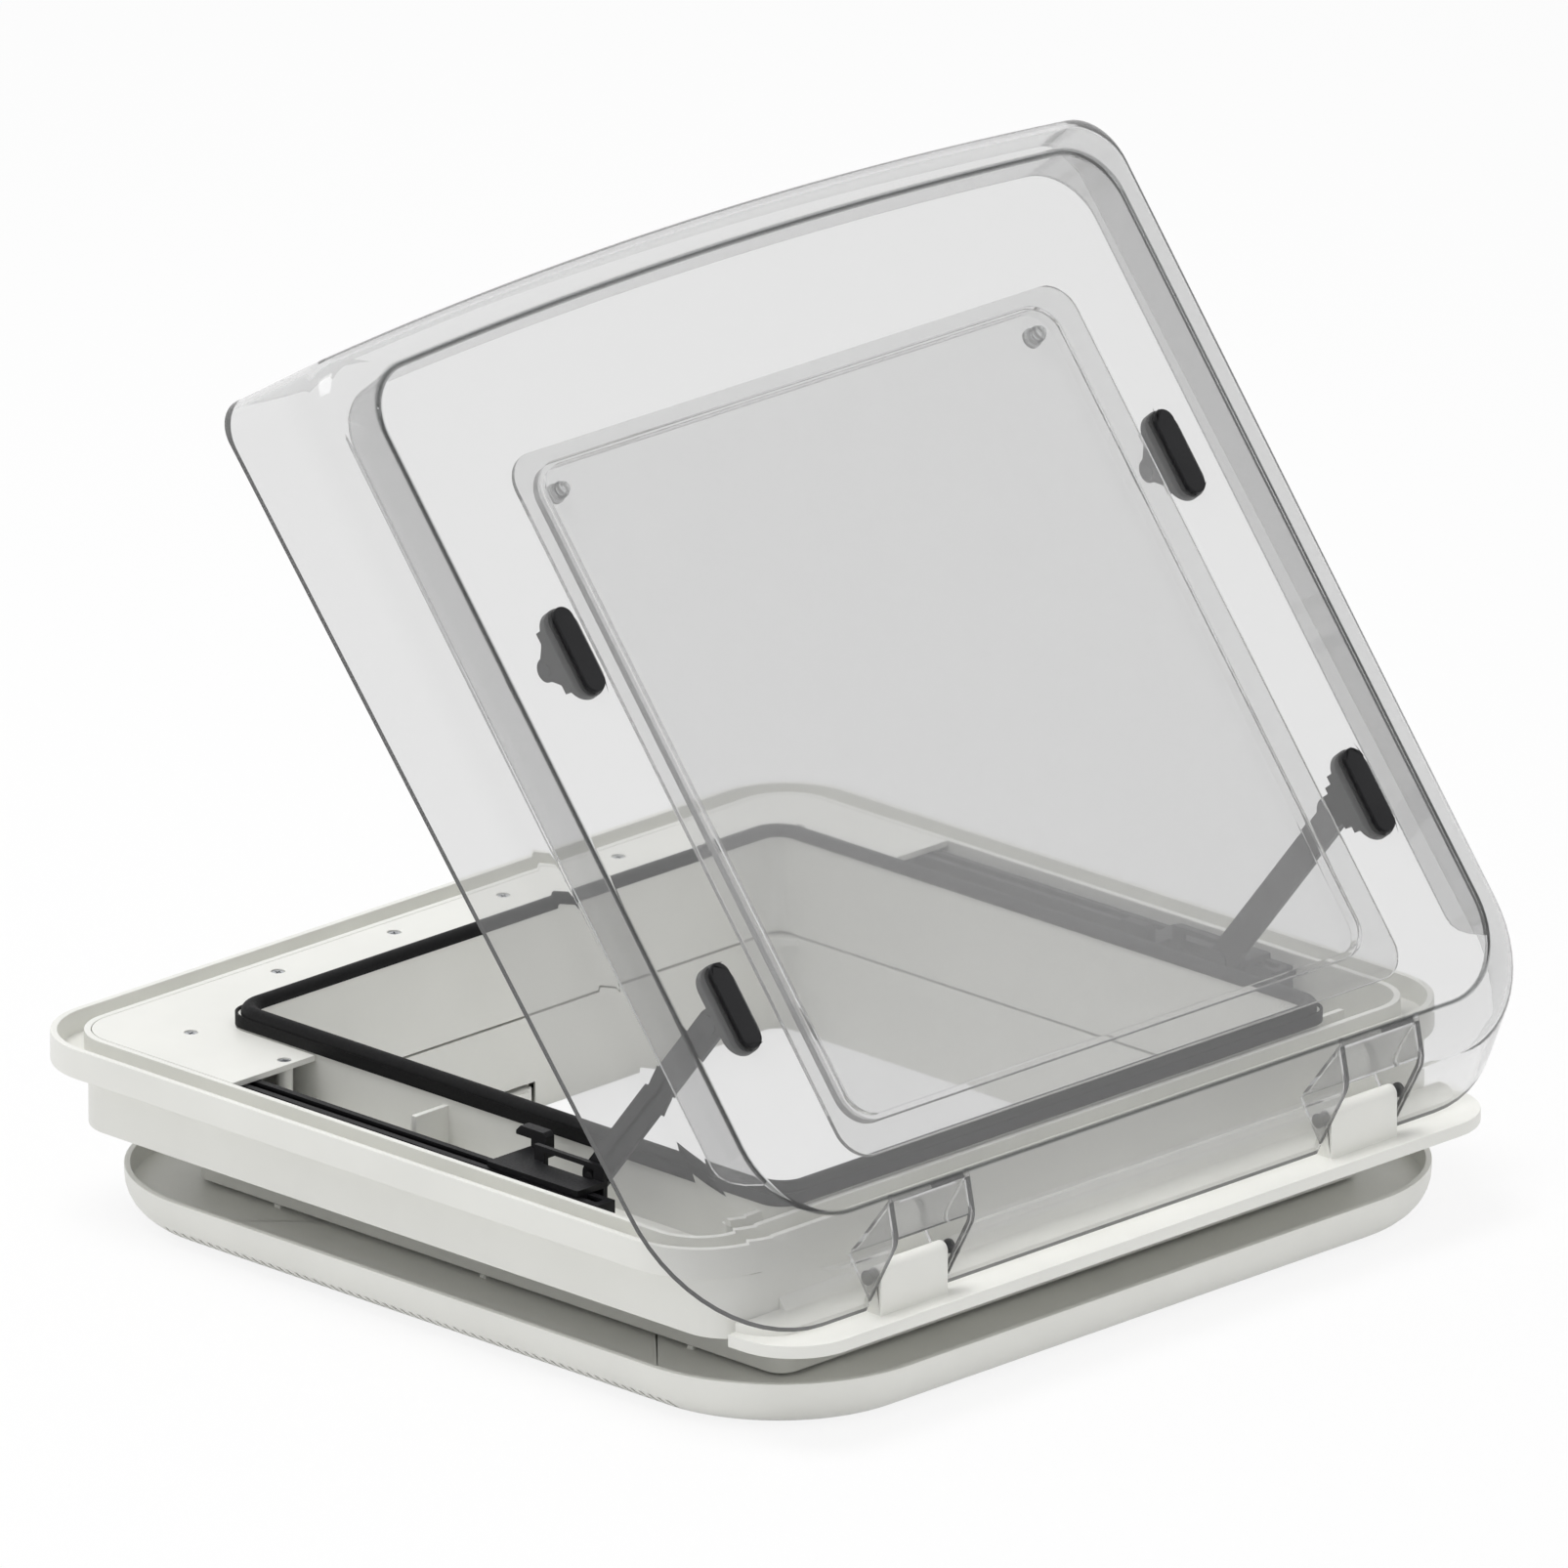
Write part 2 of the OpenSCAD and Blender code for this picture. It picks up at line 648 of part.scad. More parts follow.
module outer_dome() {
    color(clear_plastic) on_dome() difference() {
        union() {
            difference() {
                dome_form(0);
                dome_form(skin);
                both_sides() side_plate(hinge_span / 2, pocket_w - skin) pocket_mouth();
            }
            hinge_pockets();
        }
        both_sides() cross_pin(hinge_span / 2 - pocket_w, hinge_span / 2 + pocket_w, pin_r + 0.02);
        both_sides() for (p = pad_places()) for (s = [-1, 1])
            translate([p[0], p[1] + s * screw_half, skin_under - 1]) cylinder(h = skin + 2, r = screw_r + 0.2);
    }
}

function pad_places() = [[arm_pad_x, pivot_y], [catch_pad_x, catch_pad_y]];

module inner_pane() {
    wall_in = tray_half - pane_t;
    color(clear_plastic) on_dome() translate([0, pane_mid, 0]) {
        difference() {
            slab(2 * pane_side, pane_near + pane_far, 16, (pane_far - pane_near) / 2, pane_under, skin_under);
            square_slab(wall_in, 14, pane_under - 1, skin_under + 1);
        }
        difference() {
            square_slab(tray_half, 16, pane_under - pane_depth + pane_t, pane_under + eps);
            square_slab(wall_in, 14, pane_under - pane_depth + 2 * pane_t, pane_under + 1);
            for (s = [-1, 1]) translate([s * (tray_half - 14), tray_half - 14, 0]) cylinder(h = top_z, r = 3);
        }
    }
}

module pane_plugs() {
    floor_under = pane_under - pane_depth + pane_t;
    color(clear_plastic) on_dome() translate([0, pane_mid, 0]) for (s = [-1, 1])
        translate([s * (tray_half - 14), tray_half - 14, floor_under]) {
            translate([0, 0, -1.5]) cylinder(h = skin_under - floor_under + 1.3, r = 2.95);
            translate([0, 0, -1.5]) cylinder(h = 1.5, r = 5);
            for (z = [pane_t, pane_t + 2.2]) translate([0, 0, z]) cylinder(h = 1.2, r = 4.2);
        }
}

module hinge_pin() {
    half = pocket_w / 2 + 1.5;
    color(steel) on_dome() translate([-hinge_span / 2, 0, 0]) {
        cross_pin(-half, half, pin_r);
        for (s = [-1, 1]) translate([s * (half + 0.5), 0, 0]) cross_pin(-0.5, 0.5, pin_r + 0.6);
    }
}

// Brackets under the dome, with their pads on top; drawn on the left
module bracket_base(x, y) {
    difference() {
        translate([-x, y, skin_under - base_t]) linear_extrude(base_t) stadium(base_l, base_w);
        for (s = [-1, 1]) translate([-x, y + s * screw_half, skin_under - base_t - 1]) {
            cylinder(h = base_t + 2, r = screw_r);
            cylinder(h = head_t + 1, r = screw_head_r + 0.3);
        }
    }
}

module pad(x, y) {
    color(black_plastic) on_dome() difference() {
        translate([-x, y, top_z]) linear_extrude(pad_t) stadium(pad_l, pad_w);
        for (s = [-1, 1]) translate([-x, y + s * screw_half, top_z - 1]) cylinder(h = pad_t - 0.6, r = screw_r + 0.1);
    }
}

module arm_bracket() {
    color(black_plastic) on_dome() {
        bracket_base(arm_pad_x, pivot_y);
        side_plate(-ear_x, ear_t) difference() {
            union() {
                translate([pivot_y, pivot_z]) circle(ear_r);
                translate([pivot_y - ear_r, pivot_z]) square([2 * ear_r, skin_under - base_t - pivot_z]);
                for (i = [0:1]) translate([pivot_y - ear_r - 3 - 4 * i, skin_under - base_t - (2 - i) * ear_step])
                    square([2 * ear_r + 6 + 8 * i, (2 - i) * ear_step + 1]);
            }
            translate([pivot_y, pivot_z]) circle(pin_r + 0.02);
        }
    }
}

module arm_pin() {
    near = -ear_x + ear_t / 2;
    far = -arm_x - arm_t / 2 - 0.3;
    color(steel) on_dome() translate([0, pivot_y, pivot_z]) {
        cross_pin(far, near, pin_r);
        cross_pin(far - 1, far, pin_r + 1.5);
    }
}

module catch_bracket() {
    ear_top = skin_under - base_t + 1;
    color(black_plastic) on_dome() {
        bracket_base(catch_pad_x, catch_pad_y);
        for (s = [-1, 1]) side_plate(-catch_pad_x + s * 7.5, 3) difference() {
            union() {
                translate([catch_pin_y, catch_pin_z]) circle(pin_r + 3);
                polygon([[catch_pin_y - pin_r - 3, catch_pin_z], [catch_pin_y, catch_pin_z - pin_r - 2.9],
                    [catch_pad_y + 16, ear_top], [catch_pad_y - 16, ear_top]]);
                translate([catch_pad_y - 16, ear_top - ear_step - 1]) square([32, ear_step + 1]);
            }
            translate([catch_pin_y, catch_pin_z]) circle(pin_r + 0.02);
        }
    }
}

module catch_pin() {
    color(steel) on_dome() translate([-catch_pad_x, catch_pin_y, catch_pin_z]) cross_pin(-9.5, 9.5, pin_r);
}

module bracket_screws() {
    color(steel) on_dome() both_sides() for (p = pad_places()) for (s = [-1, 1])
        translate([p[0], p[1] + s * screw_half, skin_under - base_t]) {
            cylinder(h = base_t + skin + pad_t - 1.8, r = screw_r);
            cylinder(h = head_t, r = screw_head_r);
        }
}

// Slides, drawn on the left
module slider() {
    far = bridge_near + bridge_len;
    inner = rail_w - 2 * rail_wall - 1;
    color(black_plastic) {
        difference() {
            translate([-rail_x - inner / 2, slider_near, floor_z + rail_wall + 1])
                cube([inner, far - slider_near, rail_top - floor_z - 2 * rail_wall - 2]);
            translate([-rail_x, slider_near - 1, shaft_z]) rotate([-90, 0, 0]) cylinder(h = far - slider_near + 2, r = shaft_r + run_fit);
        }
        translate([-rail_x - rail_slot / 2 + 1, slider_near, rail_top - rail_wall - 2])
            cube([rail_slot - 2, far - slider_near, rail_wall + 3]);
        difference() {
            union() {
                translate([-rail_x - rail_w / 2 + 1, slider_near, rail_top + gap])
                    cube([rail_x + rail_w / 2 - 1 - lug_x + lug_t / 2, far - slider_near, 3]);
                translate([-lug_x - lug_t / 2, slider_near, foot_z - 8])
                    cube([lug_t, lost_motion + 20, 16]);
            }
            translate([-lug_x - lug_t, foot_y - pin_r - 0.3, foot_z - pin_r - 0.3])
                cube([2 * lug_t, lost_motion + 2 * pin_r + 0.6, 2 * pin_r + 0.6 + lift_play]);
        }
        translate([-lug_x - lug_t / 2, bridge_near, rail_top + gap]) cube([lug_x + lug_t / 2 - hook_x + hook_w / 2, bridge_len, 3]);
    }
}

module hook() {
    seat = rail_top + gap + 3;
    far = bridge_near + bridge_len;
    color(black_plastic) side_plate(-hook_x, hook_w)
        polygon([[bridge_near + 1, seat], [far - 1, seat], [far - 1, hook_top - 5], [far + hook_reach, hook_top - 5],
            [far + hook_reach, hook_top - 3], [far + hook_reach - 3, hook_top], [bridge_near + 3, hook_top], [bridge_near + 1, hook_top - 2]]);
}

// Arms, drawn along their own length from the pivot, then turned into place
module arm() {
    color(black_plastic) translate([0, pivot_open[0], pivot_open[1]]) rotate([arm_angle, 0, 0]) side_plate(-arm_x, arm_t) difference() {
        union() {
            translate([0, -arm_w / 2]) square([arm_len, arm_w]);
            circle(arm_w / 2);
            translate([arm_len, 0]) circle(arm_w / 2);
        }
        circle(pin_r + run_fit);
        translate([arm_len, 0]) circle(pin_r + 0.02);
    }
}

module foot_pin() {
    color(steel) translate([0, foot_y, foot_z]) {
        cross_pin(-lug_x - lug_t / 2 - 0.2, -arm_x + arm_t / 2, pin_r);
        cross_pin(-arm_x + arm_t / 2, -arm_x + arm_t / 2 + 1, pin_r + 1.5);
    }
}

outer_frame();
hinge_rail();
bulb_seal();
cover_plate();
cover_screws();
guide_rail();  // guide_rail_left
mirror([1, 0, 0]) guide_rail();  // guide_rail_right
corner_gearbox();  // corner_gearbox_left
mirror([1, 0, 0]) corner_gearbox();  // corner_gearbox_right
knob_gearbox();
trim_ring();
trim_screws();
outer_dome();
inner_pane();
pane_plugs();
hinge_pin();  // hinge_pin_left
mirror([1, 0, 0]) hinge_pin();  // hinge_pin_right
arm_bracket();  // arm_bracket_left
mirror([1, 0, 0]) arm_bracket();  // arm_bracket_right
catch_bracket();  // catch_bracket_left
mirror([1, 0, 0]) catch_bracket();  // catch_bracket_right
pad(arm_pad_x, pivot_y);  // arm_pad_left
mirror([1, 0, 0]) pad(arm_pad_x, pivot_y);  // arm_pad_right
pad(catch_pad_x, catch_pad_y);  // catch_pad_left
mirror([1, 0, 0]) pad(catch_pad_x, catch_pad_y);  // catch_pad_right
arm_pin();  // arm_pin_left
mirror([1, 0, 0]) arm_pin();  // arm_pin_right
catch_pin();  // catch_pin_left
mirror([1, 0, 0]) catch_pin();  // catch_pin_right
bracket_screws();
slider();  // slider_left
mirror([1, 0, 0]) slider();  // slider_right
hook();  // hook_left
mirror([1, 0, 0]) hook();  // hook_right
arm();  // arm_left
mirror([1, 0, 0]) arm();  // arm_right
foot_pin();  // foot_pin_left
mirror([1, 0, 0]) foot_pin();  // foot_pin_right
spindle();  // spindle_left
mirror([1, 0, 0]) spindle();  // spindle_right
cross_shaft();
knob_shaft();
turning_knob();
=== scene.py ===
# %% [markdown]
# # A caravan roof vent
# The part comes from CAD as separate solids that already sit where they belong, in metres.
# This lesson dresses them: a camera at the photograph's angle, eight finishes, softened
# edges on the mouldings, a clear dome that is lofted afresh, and small repeats such as
# threads and screw heads, which Geometry Nodes places.

import json
import math

import bmesh
import bpy
from mathutils import Matrix, Vector


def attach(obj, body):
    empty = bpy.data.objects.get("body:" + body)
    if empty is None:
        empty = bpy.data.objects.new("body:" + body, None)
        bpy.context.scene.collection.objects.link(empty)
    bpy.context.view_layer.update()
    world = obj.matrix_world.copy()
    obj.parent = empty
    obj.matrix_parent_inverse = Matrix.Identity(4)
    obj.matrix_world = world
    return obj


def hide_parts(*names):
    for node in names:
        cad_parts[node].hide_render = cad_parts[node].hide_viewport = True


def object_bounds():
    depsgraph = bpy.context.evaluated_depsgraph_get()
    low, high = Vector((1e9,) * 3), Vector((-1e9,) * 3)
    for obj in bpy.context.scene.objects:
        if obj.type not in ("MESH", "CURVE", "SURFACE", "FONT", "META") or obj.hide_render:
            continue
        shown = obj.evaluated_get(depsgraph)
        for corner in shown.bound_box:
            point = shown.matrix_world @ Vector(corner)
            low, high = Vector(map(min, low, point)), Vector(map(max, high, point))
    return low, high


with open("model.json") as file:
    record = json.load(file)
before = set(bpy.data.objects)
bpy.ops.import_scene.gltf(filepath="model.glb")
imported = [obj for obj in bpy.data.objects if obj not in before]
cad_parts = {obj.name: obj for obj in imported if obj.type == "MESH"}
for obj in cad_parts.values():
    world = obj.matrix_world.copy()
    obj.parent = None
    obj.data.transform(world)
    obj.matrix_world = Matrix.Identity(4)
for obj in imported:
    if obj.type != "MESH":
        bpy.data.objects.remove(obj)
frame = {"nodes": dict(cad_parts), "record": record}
CAD_BOX = [list(corner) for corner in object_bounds()]
MM = 0.001
scene = bpy.context.scene
scene.view_settings.view_transform = "Standard"

# %% [markdown]
# ## The camera
# The photograph was taken from far away with a long lens: parallel edges stay almost
# parallel. The camera stands about 18.6 m off, and its focal length is found from the
# width of the lip in the picture.

# %% Camera
CAMERA_PLACE = (-12.420, -12.283, 6.303)
CAMERA_AZIMUTH = -45.327
CAMERA_ELEVATION = 19.353
SENSOR_WIDTH = 36
FOCAL_LENGTH = 897.2
NEAREST = 1
FARTHEST = 200
camera_data = bpy.data.cameras.new("photo_camera")
camera_data.sensor_width = SENSOR_WIDTH
camera_data.lens = FOCAL_LENGTH
camera_data.clip_start = NEAREST
camera_data.clip_end = FARTHEST
camera = bpy.data.objects.new("photo_camera", camera_data)
scene.collection.objects.link(camera)
camera.location = CAMERA_PLACE
camera.rotation_euler = (math.radians(90 - CAMERA_ELEVATION), 0, math.radians(CAMERA_AZIMUTH))
scene.camera = camera
print("camera at", tuple(camera.location))

# %% [markdown]
# ## Finishes
# Colours are written as sRGB hex, the way a paint chart gives them, and turned to the
# linear values that the shader works in. One small helper adds a node, sets it up and
# links it, so that each material below reads as a list of its layers.

# %% Colour and node helpers


def linear(hex_code):
    # The sRGB curve: a straight foot, then a power
    channels = [int(hex_code[i:i + 2], 16) / 255 for i in (1, 3, 5)]
    bent = [c / 12.92 if c <= 0.04045 else ((c + 0.055) / 1.055) ** 2.4 for c in channels]
    return (*bent, 1.0)


def add_node(tree, kind, settings=None, inputs=None, links=None):
    node = tree.nodes.new(kind)
    for key, value in (settings or {}).items():
        setattr(node, key, value)
    for key, value in (inputs or {}).items():
        node.inputs[key].default_value = value
    for key, source in (links or {}).items():
        tree.links.new(source, node.inputs[key])
    return node


def new_material(name):
    material = bpy.data.materials.new(name)
    material.use_nodes = True
    tree = material.node_tree
    tree.nodes.clear()
    return material, tree


def per_metre(size_mm):
    # A noise texture's scale counts its features in a metre
    return 1000.0 / size_mm


# %% [markdown]
# ### White ASA
# The frame, the rail, the cover and the trim ring are injection-moulded ASA, a plastic
# that keeps its white in the sun. A fine spark-eroded grain breaks up the shine, and the
# white wanders very slightly from place to place. Real grain is near 0.1 mm; it is drawn
# at 0.9 mm here so that it can show at all. Most of a noise lies between 0.3 and 0.7, so
# the tint and the gloss run between those two.

# %% White moulded plastic
NOISE_LOW = 0.3
NOISE_HIGH = 0.7
GLOSS_SWING = 0.06
GRAIN_STRENGTH = 0.06
PLASTIC_IOR = 1.52


def moulded_plastic(name, pale, dark, roughness, specular, grain_mm, grain_depth, mottle_mm):
    material, tree = new_material(name)
    place = add_node(tree, "ShaderNodeTexCoord")
    grain = add_node(tree, "ShaderNodeTexNoise", inputs={"Scale": per_metre(grain_mm), "Detail": 2.0},
                     links={"Vector": place.outputs["Object"]})
    mottle = add_node(tree, "ShaderNodeTexNoise", inputs={"Scale": per_metre(mottle_mm), "Detail": 3.0},
                      links={"Vector": place.outputs["Object"]})
    tint = add_node(tree, "ShaderNodeValToRGB", links={"Fac": mottle.outputs["Fac"]})
    stops = tint.color_ramp.elements
    stops[0].position = NOISE_LOW
    stops[0].color = linear(dark)
    stops[1].position = NOISE_HIGH
    stops[1].color = linear(pale)
    gloss = add_node(tree, "ShaderNodeMapRange",
                     inputs={"From Min": NOISE_LOW, "From Max": NOISE_HIGH,
                             "To Min": roughness - GLOSS_SWING, "To Max": roughness + GLOSS_SWING},
                     links={"Value": grain.outputs["Fac"]})
    bump = add_node(tree, "ShaderNodeBump",
                    inputs={"Strength": GRAIN_STRENGTH, "Distance": grain_depth * MM},
                    links={"Height": grain.outputs["Fac"]})
    shader = add_node(tree, "ShaderNodeBsdfPrincipled",
                      inputs={"IOR": PLASTIC_IOR, "Specular IOR Level": specular},
                      links={"Base Color": tint.outputs["Color"], "Roughness": gloss.outputs["Result"],
                             "Normal": bump.outputs["Normal"]})
    add_node(tree, "ShaderNodeOutputMaterial", links={"Surface": shader.outputs["BSDF"]})
    return material


white_asa = moulded_plastic("white_asa_moulded", "#ebebe6", "#e6e6e1", roughness=0.42, specular=0.5,
                            grain_mm=0.9, grain_depth=0.05, mottle_mm=60)
print("made", white_asa.name)

# %% [markdown]
# ### Black nylon and EPDM rubber
# The arms, pads, brackets and slides are glass-filled nylon: black with a dull sheen and a
# little coarser skin. The seal is extruded EPDM rubber, blacker and duller still. Neither
# mirrors the white sky much, so their specular level is low. Their grain, too, is drawn
# coarser than it is.

# %% Black plastics
black_nylon = moulded_plastic("black_glass_filled_nylon", "#1c1c1e", "#161618", roughness=0.5,
                              specular=0.22, grain_mm=1.1, grain_depth=0.08, mottle_mm=25)
seal_epdm = moulded_plastic("black_epdm_rubber", "#121213", "#0d0d0e", roughness=0.65,
                            specular=0.2, grain_mm=1.4, grain_depth=0.1, mottle_mm=30)
print("made", black_nylon.name, seal_epdm.name)

# %% [markdown]
# ### Clear acrylic
# The dome and the pane are vacuum-formed acrylic sheet. Light goes through it and is
# bent by an index of 1.49, some is mirrored at each face, and a trace is scattered by
# the faint haze of a formed sheet, which is why black parts look grey behind it. Along
# the dome's crease and shoulder the tint is darker: that is painted shade. Its mesh
# carries a share of painted shade for each point, and a ramp turns it into the tint: clear
# sheet, half shaded, then darkest at the crease. The pane and its plugs have one tint all over.

# %% Clear acrylic
ACRYLIC_IOR = 1.49
ACRYLIC_ROUGHNESS = 0.02
RIPPLE_MM = 120
RIPPLE_DEPTH = 0.2
RIPPLE_STRENGTH = 0.03
HALF_SHADE_STOP = 0.45


def clear_sheet(name, clear, transmission, bent=None):
    # Where it is given, bent holds two tints of painted shade: the lighter one and the darkest, at the
    # crease
    material, tree = new_material(name)
    place = add_node(tree, "ShaderNodeTexCoord")
    ripple = add_node(tree, "ShaderNodeTexNoise", inputs={"Scale": per_metre(RIPPLE_MM), "Detail": 1.0},
                      links={"Vector": place.outputs["Object"]})
    bump = add_node(tree, "ShaderNodeBump",
                    inputs={"Strength": RIPPLE_STRENGTH, "Distance": RIPPLE_DEPTH * MM},
                    links={"Height": ripple.outputs["Fac"]})
    shader = add_node(tree, "ShaderNodeBsdfPrincipled",
                      inputs={"Base Color": linear(clear), "IOR": ACRYLIC_IOR,
                              "Roughness": ACRYLIC_ROUGHNESS, "Transmission Weight": transmission},
                      links={"Normal": bump.outputs["Normal"]})
    if bent:
        half_shade_tint, crease = bent
        # The ramp paints shade by each point's share of painted shade
        painted_shade = add_node(tree, "ShaderNodeAttribute", {"attribute_name": "painted_shade"})
        tint = add_node(tree, "ShaderNodeValToRGB", links={"Fac": painted_shade.outputs["Fac"]})
        tint.color_ramp.elements[0].color = linear(clear)
        tint.color_ramp.elements[1].color = linear(crease)
        tint.color_ramp.elements.new(HALF_SHADE_STOP).color = linear(half_shade_tint)
        tree.links.new(tint.outputs["Color"], shader.inputs["Base Color"])
    add_node(tree, "ShaderNodeOutputMaterial", links={"Surface": shader.outputs["BSDF"]})
    return material


# The dome's two darker tints are painted shade along its shoulder and crease
dome_acrylic = clear_sheet("clear_acrylic_dome", "#e6e6e6", 0.95, bent=("#bcbcbc", "#6c6e6e"))
pane_acrylic = clear_sheet("clear_acrylic_pane", "#ededed", 0.92)
plug_acrylic = clear_sheet("smoked_acrylic_plug", "#c8c9c9", 0.95)
print("made", dome_acrylic.name, pane_acrylic.name, plug_acrylic.name)

# %% [markdown]
# ### Steel, plated and blackened
# Screws and spindles are turned steel with a thin zinc plate. Turning leaves fine rings,
# too fine for the camera, so a soft noise of 1.5 mm stands for them in the roughness. The
# pins of the linkage are blackened, and read as part of the black brackets.

# %% Steel
RINGS_MM = 1.5


def turned_steel(name, colour, metallic, rough_low, rough_high):
    material, tree = new_material(name)
    place = add_node(tree, "ShaderNodeTexCoord")
    noise = add_node(tree, "ShaderNodeTexNoise", inputs={"Scale": per_metre(RINGS_MM), "Detail": 2.0},
                     links={"Vector": place.outputs["Object"]})
    gloss = add_node(tree, "ShaderNodeMapRange", inputs={"To Min": rough_low, "To Max": rough_high},
                     links={"Value": noise.outputs["Fac"]})
    shader = add_node(tree, "ShaderNodeBsdfPrincipled",
                      inputs={"Base Color": linear(colour), "Metallic": metallic},
                      links={"Roughness": gloss.outputs["Result"]})
    add_node(tree, "ShaderNodeOutputMaterial", links={"Surface": shader.outputs["BSDF"]})
    return material


zinc_steel = turned_steel("zinc_plated_steel", "#c3c5c8", metallic=1.0, rough_low=0.24, rough_high=0.42)
black_steel = turned_steel("blackened_steel", "#2a2a2c", metallic=0.6, rough_low=0.4, rough_high=0.6)
print("made", zinc_steel.name, black_steel.name)

# %% [markdown]
# ## Dressing the solids
# Every CAD node gets the finish of its slot in the record. The linkage's pins and the
# pane's plugs are the two exceptions.

# %% Finishes by slot
FINISH = {"white_plastic": white_asa, "black_plastic": black_nylon, "clear_acrylic": pane_acrylic,
          "seal_rubber": seal_epdm, "steel": zinc_steel}
SLOT = {part["node"]: part["material_slot"] for part in frame["record"]["subparts"]}
for node_name, node_object in frame["nodes"].items():
    finish = FINISH[SLOT[node_name]]
    if "_pin_" in node_name:
        finish = black_steel
    if node_name == "pane_plugs":
        finish = plug_acrylic
    node_object.data.materials.clear()
    node_object.data.materials.append(finish)
print("finished", len(SLOT), "nodes")

# %% [markdown]
# Some pieces below are drawn afresh. A new piece moves with the body of the node that it
# stands for and wears a finish of that node's kind, and the node is hidden. Its modifiers are turned into
# a plain mesh first.

# %% Helpers for new pieces
BODY = {}
for body_name, members in frame["record"]["behaviour"]["bodies"].items():
    for member in members:
        BODY[member] = body_name
MERGE_DISTANCE = 0.002 * MM
BROAD_FACE_WEIGHT = 80


def link_mesh(name, mesh):
    piece = bpy.data.objects.new(name, mesh)
    scene.collection.objects.link(piece)
    return piece


def plain_mesh(piece):
    graph = bpy.context.evaluated_depsgraph_get()
    mesh = bpy.data.meshes.new_from_object(piece.evaluated_get(graph))
    piece.modifiers.clear()
    piece.data = mesh


def settle(piece, node_name):
    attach(piece, BODY[node_name])
    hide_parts(node_name)


def shade(piece, smooth_below):
    # Smooth across gentle edges, sharp across the rest, with normals led by the broad faces
    limit = math.radians(smooth_below)
    form = bmesh.new()
    form.from_mesh(piece.data)
    for face in form.faces:
        face.smooth = True
    for edge in form.edges:
        edge.smooth = len(edge.link_faces) == 2 and edge.calc_face_angle(math.pi) < limit
    form.to_mesh(piece.data)
    form.free()
    weighted = piece.modifiers.new("flat_faces", "WEIGHTED_NORMAL")
    weighted.keep_sharp = True
    weighted.weight = BROAD_FACE_WEIGHT
    plain_mesh(piece)


# %% [markdown]
# ### Softened mouldings
# A moulding never has a knife edge, so the mouldings are shown by copies: a small Bevel
# rounds the copy's edges and Weighted Normal keeps its broad faces flat. Rounding every
# edge in the CAD would work too, at the cost of heavy solids. The rounding is too small to
# change an outer size.

# %% Softened copies
SHEETS = ("cover_plate", "inner_pane")
SHEET_FLAT = 0.5
BEVEL_ABOVE = 38
BEVEL_SEGMENTS = 2
SOFT_EDGES = {"outer_frame": 0.6, "trim_ring": 0.4, "cover_plate": 0.4, "hinge_rail": 0.6,
              "arm_left": 0.5, "arm_right": 0.5, "arm_pad_left": 0.8, "arm_pad_right": 0.8,
              "catch_pad_left": 0.8, "catch_pad_right": 0.8, "hook_left": 0.4, "hook_right": 0.4,
              "turning_knob": 0.5, "inner_pane": 0.5}


def softened(node_name, radius_mm):
    mesh = frame["nodes"][node_name].data.copy()
    form = bmesh.new()
    form.from_mesh(mesh)
    bmesh.ops.remove_doubles(form, verts=form.verts, dist=MERGE_DISTANCE)
    if node_name in SHEETS:
        # A sheet's flat comes as slivers; one wide face instead lets the bevel run clean
        bmesh.ops.dissolve_limit(form, angle_limit=math.radians(SHEET_FLAT), verts=form.verts,
                                 edges=form.edges)
    form.to_mesh(mesh)
    form.free()
    piece = link_mesh(node_name + "_soft", mesh)
    bevel = piece.modifiers.new("edge", "BEVEL")
    bevel.width = radius_mm * MM
    bevel.segments = BEVEL_SEGMENTS
    bevel.limit_method = "ANGLE"
    bevel.angle_limit = math.radians(BEVEL_ABOVE)
    bevel.use_clamp_overlap = False
    bevel.harden_normals = False
    plain_mesh(piece)
    shade(piece, smooth_below=32)
    settle(piece, node_name)
    return piece


for soft_name, soft_radius in SOFT_EDGES.items():
    soft_piece = softened(soft_name, soft_radius)
    soft_piece.visible_shadow = SLOT[soft_name] != "clear_acrylic"
    print("softened", soft_name, len(soft_piece.data.polygons), "faces")

# %% [markdown]
# ## The dome
# The dome is one formed sheet: a flat top, a sloping shoulder round it and a skirt that
# flares to the rim, with a bowed free edge that hangs a little deeper than the hinge side
# and has tighter corners. The CAD makes it from a few levels; this loft follows the same
# rule with many more, because a clear bend shows every facet. Each level of the section
# gives a loop of points, outside and inside, and quads join them. It is drawn shut, in
# millimetres about the hinge axis, and then turned open.

# %% Dome sizes
LID_JOINTS = [joint for joint in frame["record"]["behaviour"]["joints"] if joint["name"] == "lid_hinge"]
HINGE = Vector(LID_JOINTS[0]["pos_m"]) / MM
OPEN_ANGLE = -LID_JOINTS[0]["range_deg"][0]
SKIN = 3.0

# The flat top: width, where it starts and ends, the bow of its free edge, and its height
TOP_W = 496.0
TOP_NEAR = 24.3
TOP_FAR = 476.9
TOP_BOW = 7.0
TOP_Z = 36.5

# Corners in plan at the flat's edge, and what they gain or lose for each millimetre outwards
NEAR_R = 45.0
NEAR_R_RISE = 0.9
FREE_R = 30.0
FREE_R_FALL = 0.3

# Shoulder and rim: how far they stand out at the sides and at the free edge, and how deep they lie
SHOULDER_OUT = 21.0
SHOULDER_FAR = 16.0
SHOULDER_DOWN = 10.5
RIM_OUT = 38.0
RIM_FAR = 20.0
RIM_BOW = 11.0
RIM_DROP = 14.0
RIM_TILT = 9.0
print("hinge axis at", tuple(HINGE), "open by", OPEN_ANGLE)
